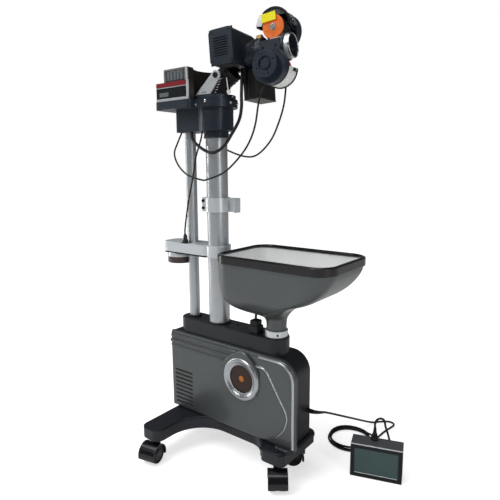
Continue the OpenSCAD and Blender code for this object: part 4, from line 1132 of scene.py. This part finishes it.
def make_stage():
    """A pale floor and backdrop, which the camera sees as white, and soft studio light."""
    mesh = bpy.data.meshes.new("floor")
    half = 8
    mesh.from_pydata([(-half, -half, 0), (half, -half, 0), (half, half, 0), (-half, half, 0)], [], [(0, 1, 2, 3)])
    floor = bpy.data.objects.new("floor", mesh)
    floor.location.z = -0.0005
    mesh.materials.append(FLOOR)
    nodes, links = FLOOR.node_tree.nodes, FLOOR.node_tree.links
    shader = nodes["Principled BSDF"]
    shader.inputs["Emission Color"].default_value = (1, 1, 1, 1)
    seen, lift = nodes.new("ShaderNodeLightPath"), nodes.new("ShaderNodeMath")
    lift.operation = "MULTIPLY"
    lift.inputs[1].default_value = FLOOR_LIFT
    links.new(seen.outputs["Is Camera Ray"], lift.inputs[0])
    links.new(lift.outputs["Value"], shader.inputs["Emission Strength"])
    bpy.context.scene.collection.objects.link(floor)
    world = bpy.data.worlds.new("studio")
    world.use_nodes = True
    nodes, links = world.node_tree.nodes, world.node_tree.links
    sky = nodes["Background"]
    sky.inputs["Color"].default_value = (1, 1, 1, 1)
    sky.inputs["Strength"].default_value = SKY_STRENGTH
    backdrop = nodes.new("ShaderNodeBackground")
    backdrop.inputs["Color"].default_value = (1, 1, 1, 1)
    path = nodes.new("ShaderNodeLightPath")
    mix = nodes.new("ShaderNodeMixShader")
    links.new(path.outputs["Is Camera Ray"], mix.inputs["Fac"])
    links.new(sky.outputs["Background"], mix.inputs[1])
    links.new(backdrop.outputs["Background"], mix.inputs[2])
    links.new(mix.outputs["Shader"], nodes["World Output"].inputs["Surface"])
    bpy.context.scene.world = world
    for light in STUDIO_LIGHTS:
        area_light(*light)
    sun = bpy.data.objects.new("overhead", bpy.data.lights.new("overhead", "SUN"))
    sun.data.energy = 1.35
    sun.data.angle = math.radians(50)
    sun.rotation_euler = (math.radians(12), math.radians(-8), 0)
    bpy.context.scene.collection.objects.link(sun)
    bpy.context.scene.view_settings.view_transform = "Standard"
    bpy.context.scene.view_settings.look = "None"


def paint_hidden_parts():
    """The pieces inside the cabinet, the gearbox and the head keep their CAD shape."""
    for node, material in (("feed_tube", CHANNEL_WHITE), ("feed_wheel", BOWL_WHITE), ("feed_motor", MOTOR_STEEL),
                           ("power_supply", MOTOR_STEEL), ("power_switch", SWITCH_RED), ("pan_motor", MOTOR_STEEL),
                           ("pan_pinion", BRASS), ("roll_motor", MOTOR_STEEL), ("roll_pinion", BRASS),
                           ("controller_connector", MOULDED_BLACK), ("cord_gland", MOULDED_BLACK)):
        paint(node, material)


make_base()
make_cabinet()
make_poles()
make_hopper()
make_head_support()
make_head()
make_controller()
paint_hidden_parts()
make_stage()
